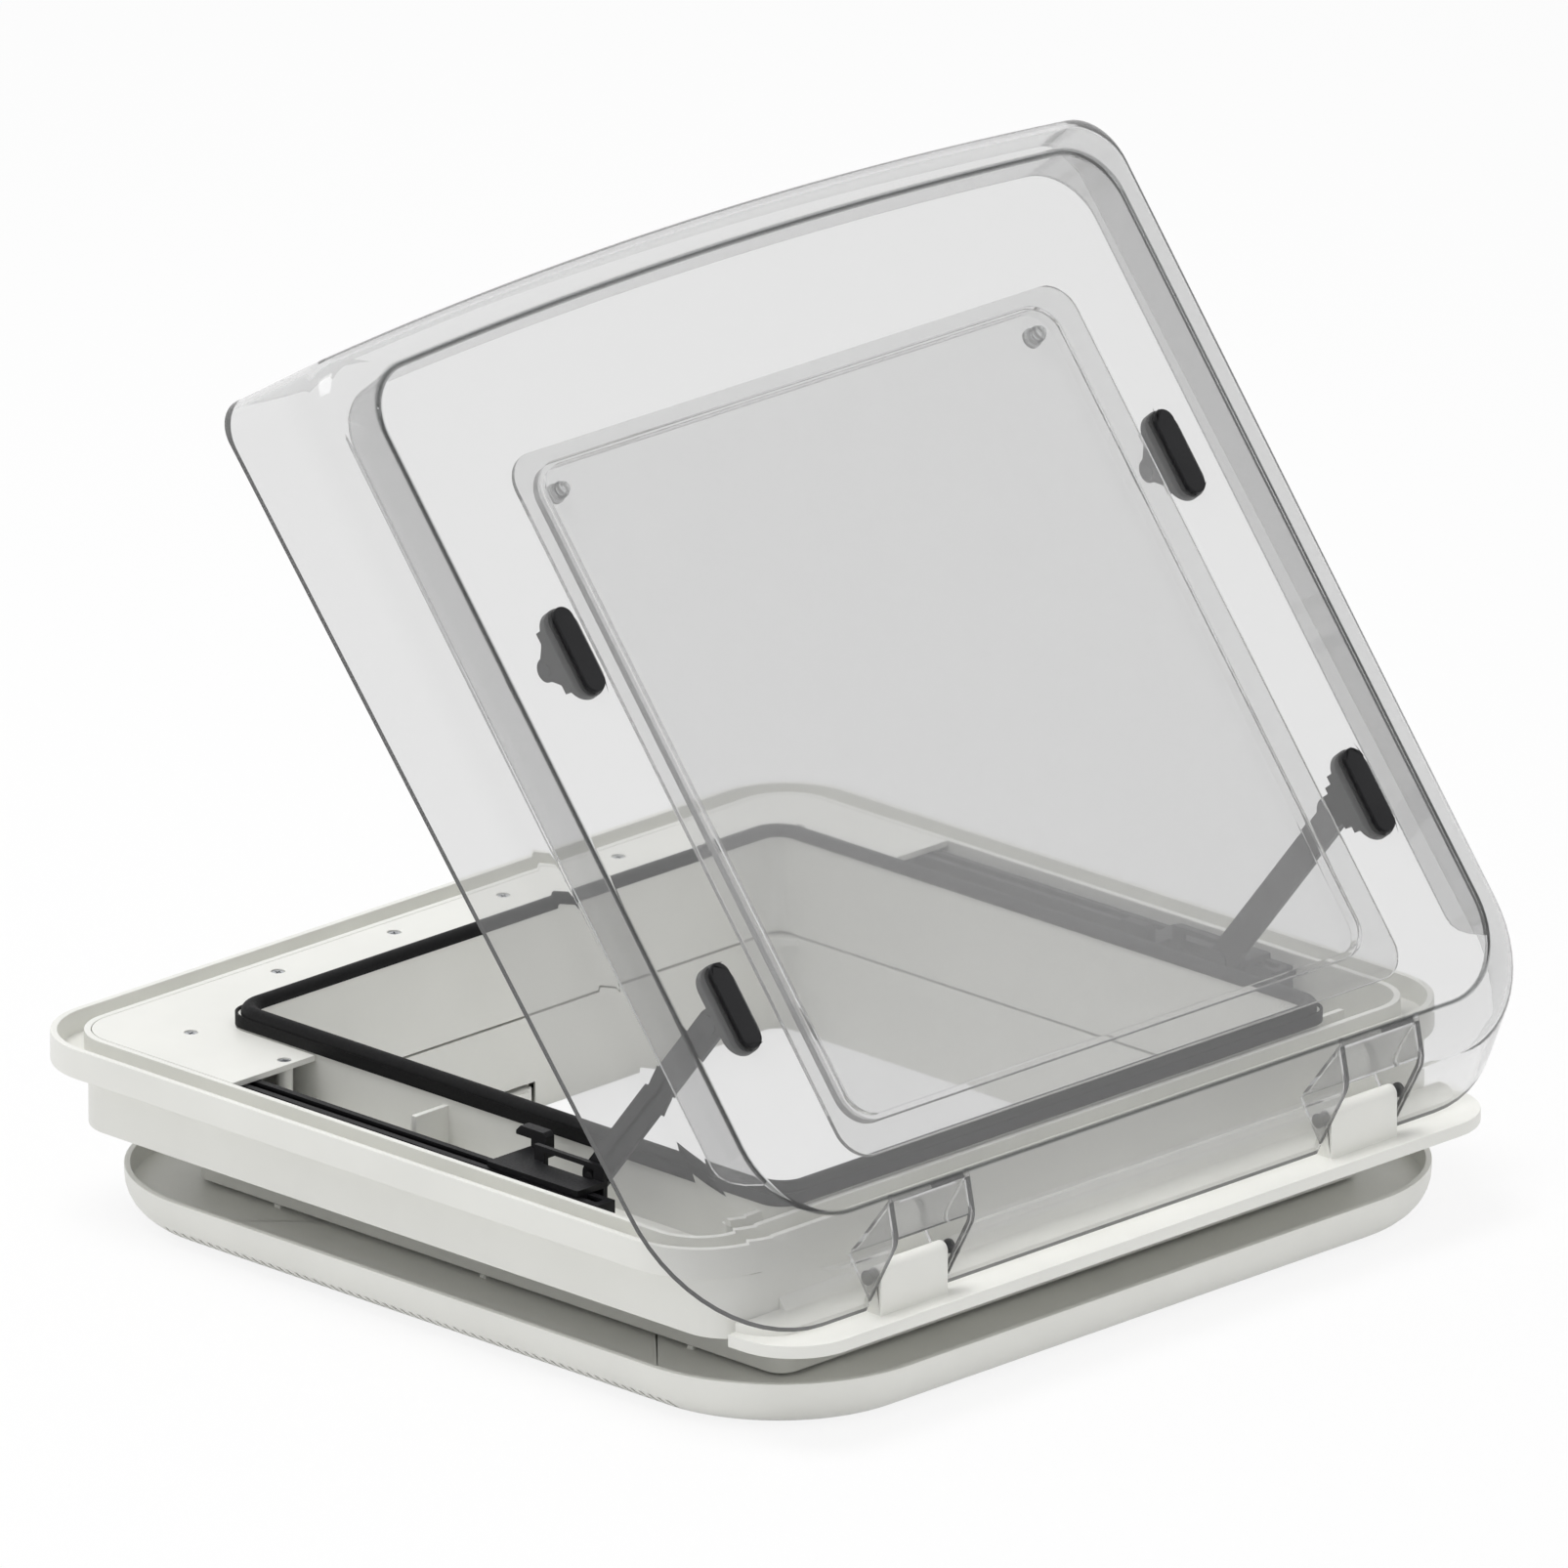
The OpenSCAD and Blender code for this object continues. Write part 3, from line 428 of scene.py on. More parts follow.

# %% [markdown]
# ### Section of the sheet
# From the flat top outwards the sheet turns down at the crease, slopes to the shoulder,
# turns again and runs straight to the rim. Arcs round both turns. The inner face is the
# same line set in by the sheet's thickness. Each level has its own share of painted shade,
# which the finish turns into a darker tint.

# %% Section
CREASE_R = 7.0
SHOULDER_R = 13.0
# How much painted shade each level gets: the crease arc, the shoulder arc, none on the wall
CREASE_PAINTED_SHADE = (0.0, 0.45, 0.95, 1.0, 0.9, 0.4, 0.08)
SHOULDER_PAINTED_SHADE = 0.05
CREASE_STEPS = len(CREASE_PAINTED_SHADE) - 1
SHOULDER_STEPS = 8
WALL_STEPS = 3
PAINTED_SHADE_LEVELS = [*CREASE_PAINTED_SHADE, *[SHOULDER_PAINTED_SHADE] * (SHOULDER_STEPS + 1), *[0.0] * WALL_STEPS]


def round_corner(a, b, c, radius, count):
    # Points of the arc that rounds the corner b between a and c
    u = (a - b).normalized()
    v = (c - b).normalized()
    half = math.acos(u.dot(v)) / 2
    centre = b + (u + v).normalized() * (radius / math.sin(half))
    first = b + u * (radius / math.tan(half)) - centre
    turn = math.pi - 2 * half
    return [centre + Matrix.Rotation(turn * i / count, 2) @ first for i in range(count + 1)]


def moved_corner(point, normal_a, normal_b, distance):
    return point + (normal_a + normal_b) * (distance / (1 + normal_a.dot(normal_b)))


def inward(line):
    return Vector((-line.y, line.x)).normalized()


def dome_section(shoulder_out, rim_out, depth, inset):
    # Overhang and depth of each level: the arc of the crease, the arc of the shoulder, the wall
    shoulder = Vector((shoulder_out, SHOULDER_DOWN))
    rim = Vector((rim_out, depth))
    normal_a = inward(shoulder)
    normal_b = inward(rim - shoulder)
    crease = moved_corner(Vector((0, 0)), Vector((0, 1)), normal_a, inset)
    bent = moved_corner(shoulder, normal_a, normal_b, inset)
    edge = rim + normal_b * inset
    edge = bent + (edge - bent) * ((depth - bent.y) / (edge.y - bent.y))
    on_flat = crease - Vector((1, 0))
    levels = round_corner(on_flat, crease, bent, CREASE_R - inset, CREASE_STEPS)
    levels += round_corner(crease, bent, edge, SHOULDER_R - inset, SHOULDER_STEPS)
    end = levels[-1]
    return levels + [end.lerp(edge, i / WALL_STEPS) for i in range(1, WALL_STEPS + 1)]


print("levels in the section", len(PAINTED_SHADE_LEVELS))

# %% [markdown]
# ### Loops round the dome
# A loop starts in the middle of the hinge side and goes round one half: straight edge,
# corner, side, free corner, bowed free edge. The other half mirrors it. The bowed edge
# leans where it meets the corner, so the corner's arc stops short of a quarter turn.

# %% Loops
ARC_STEPS = 14
EDGE_STEPS = 24
HALF_EDGE = EDGE_STEPS // 2
LEAN_ROUNDS = 4


def arc(centre, radius, start, turn, z):
    # The points of an arc in plan, without its first one
    angles = [start + turn * i / ARC_STEPS for i in range(1, ARC_STEPS + 1)]
    return [Vector((centre.x + radius * math.cos(a), centre.y + radius * math.sin(a), z)) for a in angles]


def dome_loop(side, free):
    # One closed loop at a level; the free side may lie deeper than the hinge side
    r_near = NEAR_R + NEAR_R_RISE * side.x
    r_far = FREE_R - FREE_R_FALL * max(0.0, side.x)
    near = Vector((TOP_W / 2 + side.x - r_near, TOP_NEAR - side.x + r_near))
    far = Vector((TOP_W / 2 + side.x - r_far, TOP_FAR + free.x - r_far))
    bow = TOP_BOW + (RIM_BOW - TOP_BOW) * max(0.0, free.x) / RIM_FAR
    near_z = TOP_Z - side.y
    far_z = TOP_Z - free.y
    lean = 0.0
    for _ in range(LEAN_ROUNDS):
        rise = bow + r_far * (1 - math.cos(lean))
        lean = math.atan(2 * rise / (far.x + r_far * math.sin(lean)))
    half = [Vector((near.x * i / HALF_EDGE, near.y - r_near, near_z)) for i in range(HALF_EDGE + 1)]
    half += arc(near, r_near, -math.pi / 2, math.pi / 2, near_z)
    side_start = half[-1]
    side_end = Vector((far.x + r_far, far.y, far_z))
    half += [side_start.lerp(side_end, i / EDGE_STEPS) for i in range(1, EDGE_STEPS + 1)]
    half += arc(far, r_far, 0.0, math.pi / 2 - lean, far_z)
    last = half[-1]
    rise = bow + r_far * (1 - math.cos(lean))
    for i in range(1, HALF_EDGE + 1):
        x = last.x * (1 - i / HALF_EDGE)
        half.append(Vector((x, last.y + rise * (1 - (x / last.x) ** 2), far_z)))
    other = [Vector((-p.x, p.y, p.z)) for p in reversed(half[1:-1])]
    return half + other


def join_rings(form, low, high):
    # Quads between two closed rings with as many points each
    for i in range(len(low)):
        j = (i + 1) % len(low)
        form.faces.new((low[i], low[j], high[j], high[i]))


def dome_shell():
    form = bmesh.new()
    # Each point carries its level's share of painted shade
    painted_shade_layer = form.verts.layers.float.new("painted_shade")
    shells = []
    for inset in (0.0, SKIN):
        side_levels = dome_section(SHOULDER_OUT, RIM_OUT, TOP_Z + RIM_DROP, inset)
        free_levels = dome_section(SHOULDER_FAR, RIM_FAR, TOP_Z + RIM_DROP + RIM_TILT, inset)
        rings = []
        for side, free, painted_shade in zip(side_levels, free_levels, PAINTED_SHADE_LEVELS):
            ring = [form.verts.new(p) for p in dome_loop(side, free)]
            for vert in ring:
                vert[painted_shade_layer] = painted_shade
            rings.append(ring)
        shells.append(rings)
    for rings in shells:
        for low, high in zip(rings, rings[1:]):
            join_rings(form, low, high)
        form.faces.new(rings[0])
    outer_rim, inner_rim = shells[0][-1], shells[1][-1]
    join_rings(form, inner_rim, outer_rim)
    bmesh.ops.recalc_face_normals(form, faces=form.faces)
    mesh = bpy.data.meshes.new("dome")
    form.to_mesh(mesh)
    form.free()
    return mesh


# %% [markdown]
# ### Drip wall
# Under the edge of the flat top a thin drip wall hangs down along the sides and the free
# edge. When the dome is shut it stands in the frame's rain gutter. It follows the loops of
# the shell, and its ends run a few points into the hinge-side corners and taper off there.

# %% Drip wall
DRIP_DEEP = 26.0
DRIP_T = 2.0
DRIP_OVERLAP = 0.2
# The drip wall gets a little painted shade through the dome's ramp
DRIP_PAINTED_SHADE = 0.2
DRIP_TAPER = 4
DRIP_TIP = 0.1


def drip_wall(form):
    # Four lines of points, outside and inside, high and low, and the faces between them
    painted_shade_layer = form.verts.layers.float["painted_shade"]
    root = SKIN - DRIP_OVERLAP
    deep = DRIP_DEEP - root
    first = HALF_EDGE + ARC_STEPS - DRIP_TAPER
    lines = []
    for out, fall in ((0, 0), (0, deep), (-DRIP_T, deep), (-DRIP_T, 0)):
        level = Vector((out, root))
        loop = dome_loop(level, level)
        run = loop[first:len(loop) - first + 1]
        line = []
        for i, point in enumerate(run):
            steps_in = min(i, len(run) - 1 - i)
            share = min(1.0, (steps_in + DRIP_TIP) / DRIP_TAPER)
            vert = form.verts.new(point - Vector((0, 0, fall * share * (2 - share))))
            # A little painted shade on every point of the drip wall
            vert[painted_shade_layer] = DRIP_PAINTED_SHADE
            line.append(vert)
        lines.append(line)
    made = []
    for low, high in zip(lines, lines[1:] + lines[:1]):
        for i in range(len(low) - 1):
            made.append(form.faces.new((low[i], low[i + 1], high[i + 1], high[i])))
    made.append(form.faces.new([line[0] for line in lines]))
    made.append(form.faces.new([line[-1] for line in lines]))
    bmesh.ops.recalc_face_normals(form, faces=made)
    return len(lines[0])


# %% [markdown]
# ### Hinge pockets
# Two pockets in the hinge-side wall take the rail's tabs. A box cuts each one out of the
# loft, and a cheek on either side and a sloping back, formed in the same sheet, close it.
# Each of these is an outline in the YZ plane that is given a thickness.

# %% Pocket outlines
HINGE_SPAN = 304.0
POCKET_W = 54.0
POCKET_BACK = 12.0
POCKET_LEAN = 10.0
POCKET_LOW = -7.0
POCKET_CEILING = 27.0
CHEEK_LOW = 1.2 * POCKET_LOW
CHEEK_FIRST = 3
CHEEK_INSET = 1.0
SHEET_OVERLAP = 0.5
MOUTH_OUT = -2 * RIM_OUT
MOUTH_LOW = -3 * RIM_DROP
MOUTH_LEAN = 0.8 * POCKET_LEAN


def prism(outline, x_mid, thickness):
    # A closed prism from an outline in the YZ plane, given thickness along X
    form = bmesh.new()
    sides = []
    for x in (x_mid - thickness / 2, x_mid + thickness / 2):
        sides.append([form.verts.new((x, y, z)) for y, z in outline])
    form.faces.new(sides[0])
    form.faces.new(list(reversed(sides[1])))
    join_rings(form, sides[1], sides[0])
    bmesh.ops.recalc_face_normals(form, faces=form.faces)
    mesh = bpy.data.meshes.new("prism")
    form.to_mesh(mesh)
    form.free()
    return mesh


outer_section = dome_section(SHOULDER_OUT, RIM_OUT, TOP_Z + RIM_DROP, 0.0)
wall_top, wall_foot = outer_section[-WALL_STEPS - 1], outer_section[-1]
cheek_share = (TOP_Z - CHEEK_LOW - wall_top.y) / (wall_foot.y - wall_top.y)
cheek_levels = outer_section[CHEEK_FIRST:-WALL_STEPS] + [wall_top.lerp(wall_foot, cheek_share)]
pocket_top = POCKET_BACK + POCKET_LEAN
under = TOP_Z - SKIN + SHEET_OVERLAP
cheek = [(TOP_NEAR - p.x + CHEEK_INSET, TOP_Z - p.y) for p in cheek_levels]
cheek += [(POCKET_BACK, POCKET_LOW), (pocket_top, under)]
back = [(POCKET_BACK, POCKET_LOW), (POCKET_BACK + SKIN, POCKET_LOW), (pocket_top + SKIN, under),
        (pocket_top, under)]
mouth = [(MOUTH_OUT, POCKET_CEILING), (POCKET_BACK + MOUTH_LEAN, POCKET_CEILING),
         (POCKET_BACK, POCKET_LOW), (POCKET_BACK, MOUTH_LOW), (MOUTH_OUT, MOUTH_LOW)]
print("points in a cheek", len(cheek))

# %% [markdown]
# ### The dome in one piece
# The shell loses the two pockets to an exact Boolean. The cheeks, the backs and the drip
# wall then join its mesh, and the whole dome is turned open.

# %% Dome
pocket_places = (-HINGE_SPAN / 2, HINGE_SPAN / 2)
dome = link_mesh("dome_shell", dome_shell())
cutters = []
for pocket_x in pocket_places:
    cutters.append(link_mesh("pocket_cut", prism(mouth, pocket_x, POCKET_W - SKIN)))
    cut = dome.modifiers.new("pocket", "BOOLEAN")
    cut.object = cutters[-1]
    cut.operation = "DIFFERENCE"
    cut.solver = "EXACT"
plain_mesh(dome)
for cutter in cutters:
    bpy.data.objects.remove(cutter)


def on_dome(point):
    turned = Matrix.Rotation(math.radians(OPEN_ANGLE), 4, "X") @ Vector(point)
    return (HINGE + turned) * MM


join_form = bmesh.new()
join_form.from_mesh(dome.data)
for pocket_x in pocket_places:
    walls = [prism(cheek, pocket_x + s * (POCKET_W - SKIN) / 2, SKIN) for s in (-1, 1)]
    walls.append(prism(back, pocket_x, POCKET_W - 2 * SKIN))
    for wall in walls:
        join_form.from_mesh(wall)
drip_points = drip_wall(join_form)
for vert in join_form.verts:
    vert.co = on_dome(vert.co)
join_form.to_mesh(dome.data)
join_form.free()
dome.data.materials.clear()
dome.data.materials.append(dome_acrylic)
shade(dome, smooth_below=30)
settle(dome, "outer_dome")
dome.visible_shadow = False
print("dome", len(dome.data.polygons), "faces, drip wall along", drip_points, "points")

# %% [markdown]
# ## Threads and screws
# What repeats is made by Geometry Nodes. A tree is written once, with named inputs, and a
# modifier sets them by the sockets' identifiers. The result is turned into a plain mesh,
# moved to its place, and the modifier goes.

# %% Geometry Nodes helpers
METRES = "NodeSocketFloat"


def new_tree(name, inputs):
    tree = bpy.data.node_groups.new(name, "GeometryNodeTree")
    tree.interface.new_socket("Geometry", in_out="INPUT", socket_type="NodeSocketGeometry")
    tree.interface.new_socket("Geometry", in_out="OUTPUT", socket_type="NodeSocketGeometry")
    for label, kind, value in inputs:
        socket = tree.interface.new_socket(label, in_out="INPUT", socket_type=kind)
        socket.default_value = value
    return tree, tree.nodes.new("NodeGroupInput"), tree.nodes.new("NodeGroupOutput")


def end_tree(tree, group_out, geometry, material):
    real = add_node(tree, "GeometryNodeRealizeInstances", links={"Geometry": geometry})
    painted = add_node(tree, "GeometryNodeSetMaterial", inputs={"Material": material},
                       links={"Geometry": real.outputs["Geometry"]})
    tree.links.new(painted.outputs["Geometry"], group_out.inputs["Geometry"])


def grown(name, tree, values, points=()):
    mesh = bpy.data.meshes.new(name)
    mesh.from_pydata([tuple(p) for p in points], [], [])
    piece = link_mesh(name, mesh)
    modifier = piece.modifiers.new("grow", "NODES")
    modifier.node_group = tree
    for item in tree.interface.items_tree:
        if item.in_out == "INPUT" and item.name in values:
            modifier[item.identifier] = values[item.name]
    plain_mesh(piece)
    form = bmesh.new()
    form.from_mesh(piece.data)
    bmesh.ops.recalc_face_normals(form, faces=form.faces)
    form.to_mesh(piece.data)
    form.free()
    return piece


# %% [markdown]
# ### Spindles
# A spindle is a core with a ridge wound round it. A bump in the finish could show it, but
# only a real ridge is still there in the exported mesh. The CAD keeps it a plain rod as
# thick as the ridge, so the ridge's top stays just under the rod's radius.

# %% Thread tree
HELIX_STEPS = 14
RIDGE_SIDES = 6
CORE_SIDES = 24
thread_tree, thread_in, thread_out = new_tree("thread", [
    ("Length", METRES, 0.3), ("Pitch", METRES, 0.004), ("Core Radius", METRES, 0.0017),
    ("Ridge", METRES, 0.0005)])
thread = thread_in.outputs
turns = add_node(thread_tree, "ShaderNodeMath", {"operation": "DIVIDE"},
                 links={0: thread["Length"], 1: thread["Pitch"]})
helix = add_node(thread_tree, "GeometryNodeCurveSpiral", inputs={"Resolution": HELIX_STEPS},
                 links={"Rotations": turns.outputs["Value"], "Start Radius": thread["Core Radius"],
                        "End Radius": thread["Core Radius"], "Height": thread["Length"]})
ridge = add_node(thread_tree, "GeometryNodeCurvePrimitiveCircle", inputs={"Resolution": RIDGE_SIDES},
                 links={"Radius": thread["Ridge"]})
wound = add_node(thread_tree, "GeometryNodeCurveToMesh", inputs={"Fill Caps": True},
                 links={"Curve": helix.outputs["Curve"], "Profile Curve": ridge.outputs["Curve"]})
core = add_node(thread_tree, "GeometryNodeMeshCylinder", inputs={"Vertices": CORE_SIDES},
                links={"Radius": thread["Core Radius"], "Depth": thread["Length"]})
half_length = add_node(thread_tree, "ShaderNodeMath", {"operation": "MULTIPLY"}, inputs={1: 0.5},
                       links={0: thread["Length"]})
lift = add_node(thread_tree, "ShaderNodeCombineXYZ", links={"Z": half_length.outputs["Value"]})
raised = add_node(thread_tree, "GeometryNodeTransform",
                  links={"Geometry": core.outputs["Mesh"], "Translation": lift.outputs["Vector"]})
rod = add_node(thread_tree, "GeometryNodeJoinGeometry")
thread_tree.links.new(wound.outputs["Mesh"], rod.inputs["Geometry"])
thread_tree.links.new(raised.outputs["Geometry"], rod.inputs["Geometry"])
end_tree(thread_tree, thread_out, rod.outputs["Geometry"], zinc_steel)
print("thread tree with", len(thread_tree.nodes), "nodes")

# %% Spindles in place
THREAD_PITCH = 4.0
THREAD_DEEP = 0.5
RIDGE_R = 0.48
END_TRIM = 0.6


def box_of(node_name):
    corners = [Vector(v.co) for v in frame["nodes"][node_name].data.vertices]
    low = Vector([min(c[i] for c in corners) for i in range(3)])
    high = Vector([max(c[i] for c in corners) for i in range(3)])
    return low, high


for spindle_name in ("spindle_left", "spindle_right"):
    low, high = box_of(spindle_name)
    radius = (high.x - low.x) / 2
    trim = END_TRIM * MM
    spindle = grown(spindle_name + "_thread", thread_tree,
                    {"Length": high.y - low.y - 2 * trim, "Pitch": THREAD_PITCH * MM,
                     "Core Radius": radius - THREAD_DEEP * MM, "Ridge": RIDGE_R * MM})
    stand = Matrix.Translation(((low.x + high.x) / 2, high.y - trim, (low.z + high.z) / 2))
    spindle.data.transform(stand @ Matrix.Rotation(math.radians(90), 4, "X"))
    shade(spindle, smooth_below=40)
    settle(spindle, spindle_name)
    print(spindle.name, len(spindle.data.polygons), "faces")

# %% [markdown]
# ### Screws
# A screw is a shank with a round head, and a cross is cut into the head by two bars. The
# bars are centred on the head's top, so they are twice as deep as the recess. Each screw
# stops at a turn of its own, up to a quarter, which a fixed seed decides.

# %% Screw tree
HEAD_SIDES = 28
SHANK_SIDES = 16
CROSS_REACH = 1.25
MOST_TURN = 1.57
screw_tree, screw_in, screw_out = new_tree("cross_head_screws", [
    ("Head Radius", METRES, 0.003), ("Head Height", METRES, 0.0018), ("Shank Radius", METRES, 0.0016),
    ("Shank Length", METRES, 0.01), ("Recess", METRES, 0.0009), ("Seed", "NodeSocketInt", 4)])
screw = screw_in.outputs
head = add_node(screw_tree, "GeometryNodeMeshCylinder", inputs={"Vertices": HEAD_SIDES},
                links={"Radius": screw["Head Radius"], "Depth": screw["Head Height"]})
cross_long = add_node(screw_tree, "ShaderNodeMath", {"operation": "MULTIPLY"}, inputs={1: CROSS_REACH},
                      links={0: screw["Head Radius"]})
bar_deep = add_node(screw_tree, "ShaderNodeMath", {"operation": "MULTIPLY"}, inputs={1: 2.0},
                    links={0: screw["Recess"]})
head_half = add_node(screw_tree, "ShaderNodeMath", {"operation": "MULTIPLY"}, inputs={1: 0.5},
                     links={0: screw["Head Height"]})
head_top = add_node(screw_tree, "ShaderNodeCombineXYZ", links={"Z": head_half.outputs["Value"]})
cut_head = add_node(screw_tree, "GeometryNodeMeshBoolean", {"operation": "DIFFERENCE"},
                    links={0: head.outputs["Mesh"]})
bar_sides = (cross_long.outputs["Value"], screw["Recess"])
for bar_x, bar_y in (bar_sides, reversed(bar_sides)):
    bar_size = add_node(screw_tree, "ShaderNodeCombineXYZ",
                        links={"X": bar_x, "Y": bar_y, "Z": bar_deep.outputs["Value"]})
    bar = add_node(screw_tree, "GeometryNodeMeshCube", links={"Size": bar_size.outputs["Vector"]})
    placed = add_node(screw_tree, "GeometryNodeTransform",
                      links={"Geometry": bar.outputs["Mesh"], "Translation": head_top.outputs["Vector"]})
    screw_tree.links.new(placed.outputs["Geometry"], cut_head.inputs[1])
shank = add_node(screw_tree, "GeometryNodeMeshCylinder", inputs={"Vertices": SHANK_SIDES},
                 links={"Radius": screw["Shank Radius"], "Depth": screw["Shank Length"]})
both_heights = add_node(screw_tree, "ShaderNodeMath", {"operation": "ADD"},
                        links={0: screw["Head Height"], 1: screw["Shank Length"]})
shank_down = add_node(screw_tree, "ShaderNodeMath", {"operation": "MULTIPLY"}, inputs={1: -0.5},
                      links={0: both_heights.outputs["Value"]})
shank_at = add_node(screw_tree, "ShaderNodeCombineXYZ", links={"Z": shank_down.outputs["Value"]})
hung = add_node(screw_tree, "GeometryNodeTransform",
                links={"Geometry": shank.outputs["Mesh"], "Translation": shank_at.outputs["Vector"]})
one_screw = add_node(screw_tree, "GeometryNodeJoinGeometry")
screw_tree.links.new(cut_head.outputs["Mesh"], one_screw.inputs["Geometry"])
screw_tree.links.new(hung.outputs["Geometry"], one_screw.inputs["Geometry"])

# Sockets 2 and 3 of a random number are its least and its most, and output 1 is the number
turn = add_node(screw_tree, "FunctionNodeRandomValue", {"data_type": "FLOAT"}, inputs={3: MOST_TURN},
                links={"Seed": screw["Seed"]})
turned_by = add_node(screw_tree, "ShaderNodeCombineXYZ", links={"Z": turn.outputs[1]})
spots = add_node(screw_tree, "GeometryNodeMeshToPoints", links={"Mesh": screw["Geometry"]})
screws = add_node(screw_tree, "GeometryNodeInstanceOnPoints",
                  links={"Points": spots.outputs["Points"], "Instance": one_screw.outputs["Geometry"],
                         "Rotation": turned_by.outputs["Vector"]})
end_tree(screw_tree, screw_out, screws.outputs["Instances"], zinc_steel)
print("screw tree with", len(screw_tree.nodes), "nodes")

# %% [markdown]
# A node holds several screws as separate solids. Walking along the edges finds the points
# of each one. The walk follows the order of the mesh, so every run gives the same turns.

# %% Screws in place
HEAD_R = 3.0
SHANK_R = 1.6
RECESS = 0.9


def islands(node_name):
    # The points of each separate solid of a node
    form = bmesh.new()
    form.from_mesh(frame["nodes"][node_name].data)
    bmesh.ops.remove_doubles(form, verts=form.verts, dist=MERGE_DISTANCE)
    seen = set()
    found = []
    for start in form.verts:
        if start in seen:
            continue
        seen.add(start)
        grow = [start]
        group = []
        while grow:
            vert = grow.pop()
            group.append(vert.co.copy())
            for edge in vert.link_edges:
                other = edge.other_vert(vert)
                if other not in seen:
                    seen.add(other)
                    grow.append(other)
        found.append(group)
    form.free()
    return found


def cross_heads(node_name, to_local, head_height, seed):
    # The screws of a node, all alike, drawn afresh; to_local turns the heads to +Z
    places = []
    for group in islands(node_name):
        local = [to_local @ co for co in group]
        x = (min(c.x for c in local) + max(c.x for c in local)) / 2
        y = (min(c.y for c in local) + max(c.y for c in local)) / 2
        top = max(c.z for c in local)
        length = top - min(c.z for c in local) - head_height * MM
        places.append((x, y, top - head_height * MM / 2))
    piece = grown(node_name + "_cross", screw_tree,
                  {"Head Radius": HEAD_R * MM, "Head Height": head_height * MM,
                   "Shank Radius": SHANK_R * MM, "Shank Length": length,
                   "Recess": RECESS * MM, "Seed": seed}, places)
    piece.data.transform(to_local.inverted())
    shade(piece, smooth_below=35)
    settle(piece, node_name)
    print(piece.name, len(places), "screws")


flip = Matrix.Rotation(math.pi, 4, "X")
lid_flat = Matrix.Rotation(math.radians(-OPEN_ANGLE), 4, "X")
cross_heads("cover_screws", Matrix.Identity(4), head_height=1.6, seed=4)
cross_heads("trim_screws", flip, head_height=2.4, seed=7)
cross_heads("bracket_screws", flip @ lid_flat, head_height=1.8, seed=9)

# %% [markdown]
# ## Light and floor
# A white world and two soft lamps stand for a studio. What the camera sees of the world,
# also in a mirror or through the acrylic, is full white, while the light that falls from
# it is lower, so that white plastic keeps its shading.

# %% World
SKY_LIGHT = 0.69


def seen_directly(tree):
    path = add_node(tree, "ShaderNodeLightPath")
    mirrored = add_node(tree, "ShaderNodeMath", {"operation": "MAXIMUM"},
                        links={0: path.outputs["Is Camera Ray"], 1: path.outputs["Is Glossy Ray"]})
    seen = add_node(tree, "ShaderNodeMath", {"operation": "MAXIMUM"},
                    links={0: mirrored.outputs["Value"], 1: path.outputs["Is Transmission Ray"]})
    return seen.outputs["Value"]


world = bpy.data.worlds.new("studio")
scene.world = world
world.use_nodes = True
sky_tree = world.node_tree
sky_tree.nodes.clear()
sky_level = add_node(sky_tree, "ShaderNodeMapRange", inputs={"To Min": SKY_LIGHT, "To Max": 1.0},
                     links={"Value": seen_directly(sky_tree)})
sky = add_node(sky_tree, "ShaderNodeBackground", inputs={"Color": (1, 1, 1, 1)},
               links={"Strength": sky_level.outputs["Result"]})
add_node(sky_tree, "ShaderNodeOutputWorld", links={"Surface": sky.outputs["Background"]})
print("world", world.name)

# %% [markdown]
# The floor is pale and keeps a faint shadow; to the camera, and in reflections and through
# the acrylic, it is nearly white.

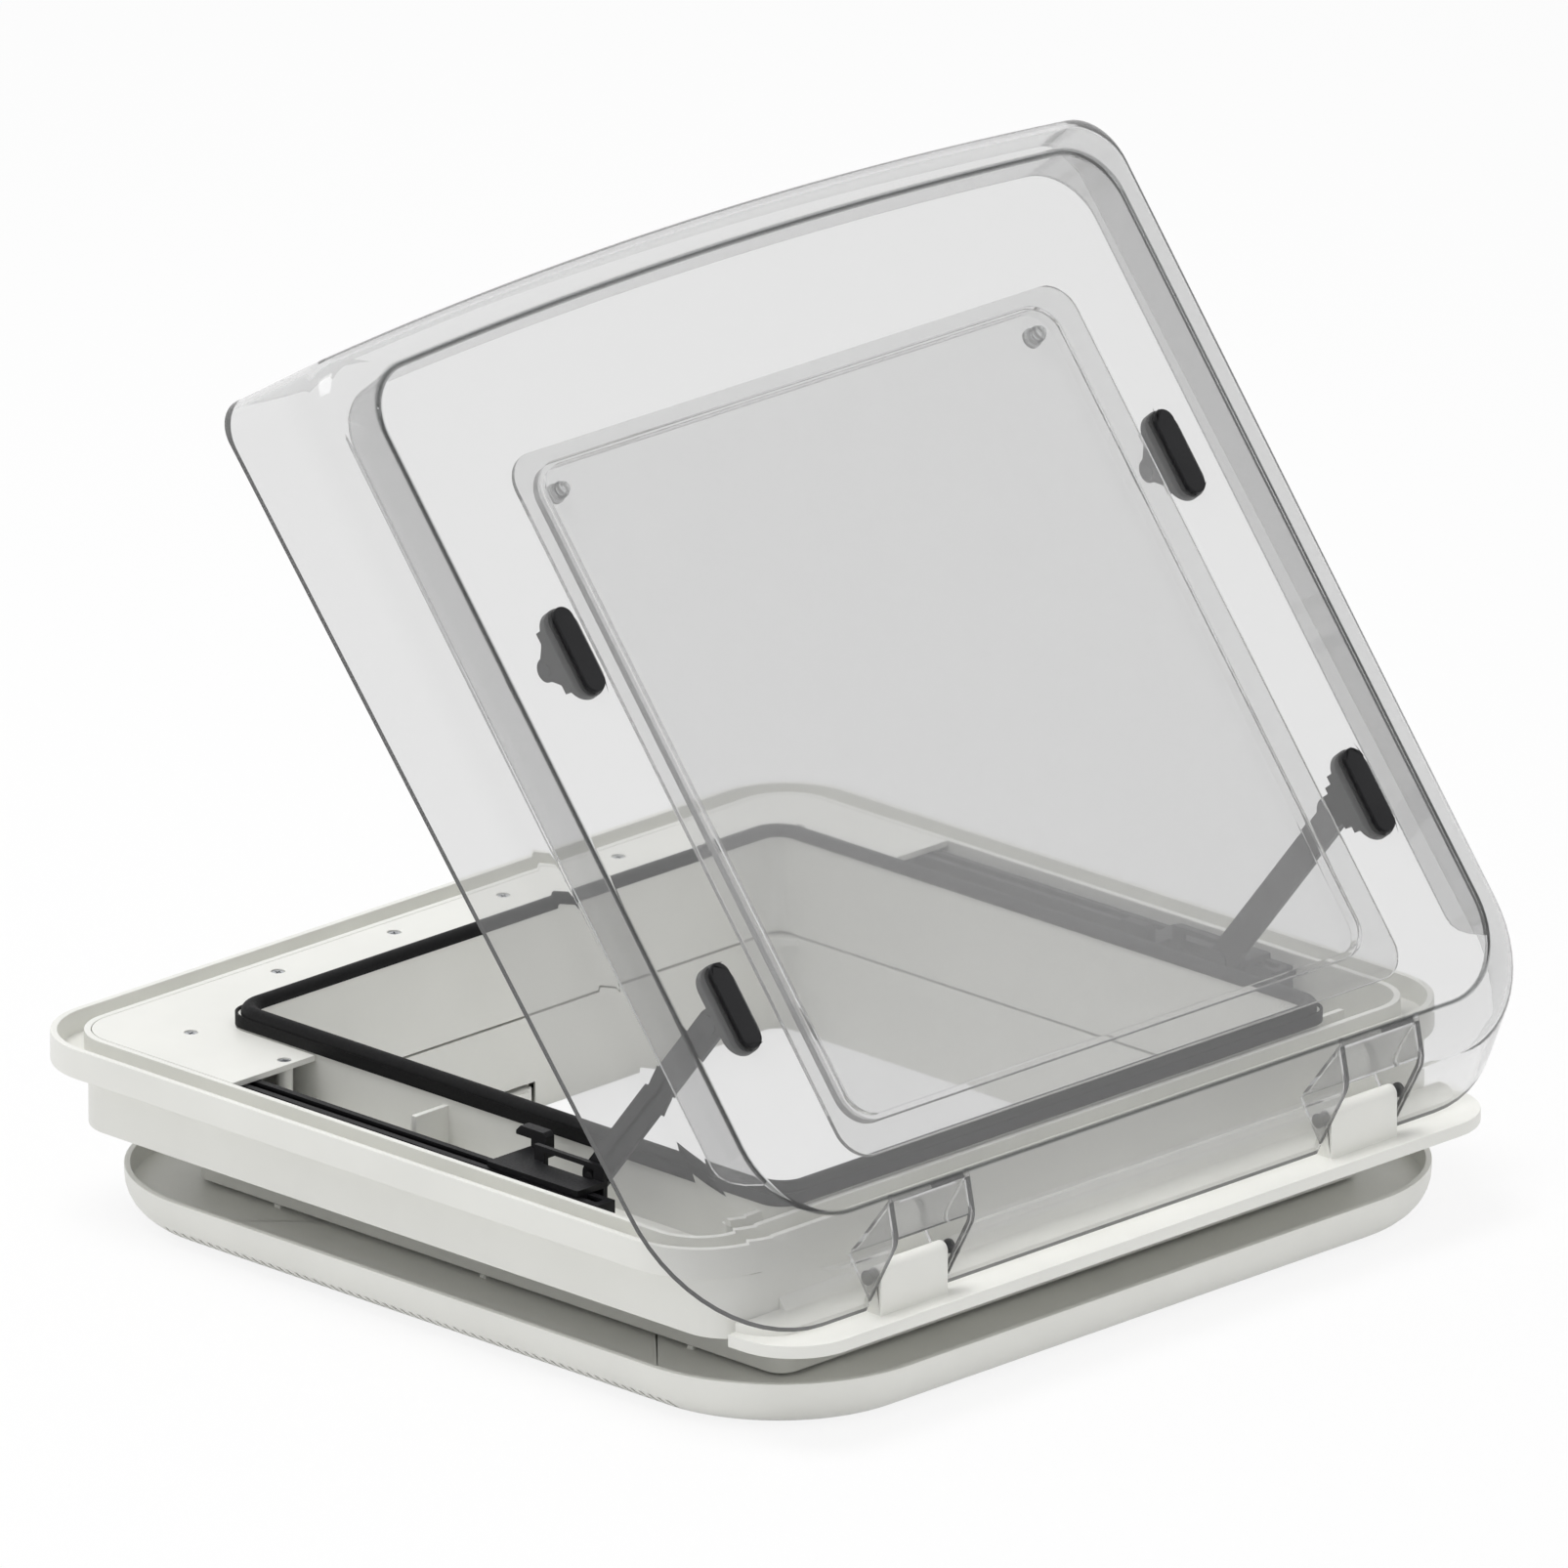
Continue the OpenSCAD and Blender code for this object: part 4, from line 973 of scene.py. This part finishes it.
# %% Floor
FLOOR_HALF = 30.0
FLOOR_GAP = 0.5
FLOOR_WHITE = 0.85
floor_paint, floor_tree = new_material("pale_floor")
floor_share = add_node(floor_tree, "ShaderNodeMath", {"operation": "MULTIPLY"}, inputs={1: FLOOR_WHITE},
                       links={0: seen_directly(floor_tree)})
floor_matt = add_node(floor_tree, "ShaderNodeBsdfDiffuse", inputs={"Color": linear("#f4f4f4")})
floor_glow = add_node(floor_tree, "ShaderNodeEmission", inputs={"Color": (1, 1, 1, 1), "Strength": 1.0})
floor_mix = add_node(floor_tree, "ShaderNodeMixShader",
                     links={0: floor_share.outputs["Value"], 1: floor_matt.outputs["BSDF"],
                            2: floor_glow.outputs["Emission"]})
add_node(floor_tree, "ShaderNodeOutputMaterial", links={"Surface": floor_mix.outputs["Shader"]})
floor_z = CAD_BOX[0][2] - FLOOR_GAP * MM
floor_signs = ((-1, -1), (1, -1), (1, 1), (-1, 1))
floor_mesh = bpy.data.meshes.new("floor")
floor_mesh.from_pydata([(x * FLOOR_HALF, y * FLOOR_HALF, floor_z) for x, y in floor_signs],
                       [], [(0, 1, 2, 3)])
floor_mesh.materials.append(floor_paint)
floor = link_mesh("floor", floor_mesh)
print("floor at", floor_z)

# %% [markdown]
# A key lamp stands high above the vent and a weak fill lamp in front of it. The key lamp
# isn't mirrored, because it would show as a white square on the dome.

# %% Lamps
LAMP_SIZE = 1.4
LAMP_AIM = Vector((0, 0, 0.1))


def soft_lamp(name, place, power):
    lamp_data = bpy.data.lights.new(name, "AREA")
    lamp_data.shape = "SQUARE"
    lamp_data.size = LAMP_SIZE
    lamp_data.energy = power
    lamp = bpy.data.objects.new(name, lamp_data)
    scene.collection.objects.link(lamp)
    lamp.location = place
    aim = LAMP_AIM - Vector(place)
    lamp.rotation_euler = aim.to_track_quat("-Z", "Y").to_euler()
    return lamp


key = soft_lamp("key", (-0.7, 0.6, 2.9), power=40)
key.visible_glossy = False
fill = soft_lamp("fill", (-0.4, -2.4, 1.2), power=2)
print("lamps", key.name, fill.name)
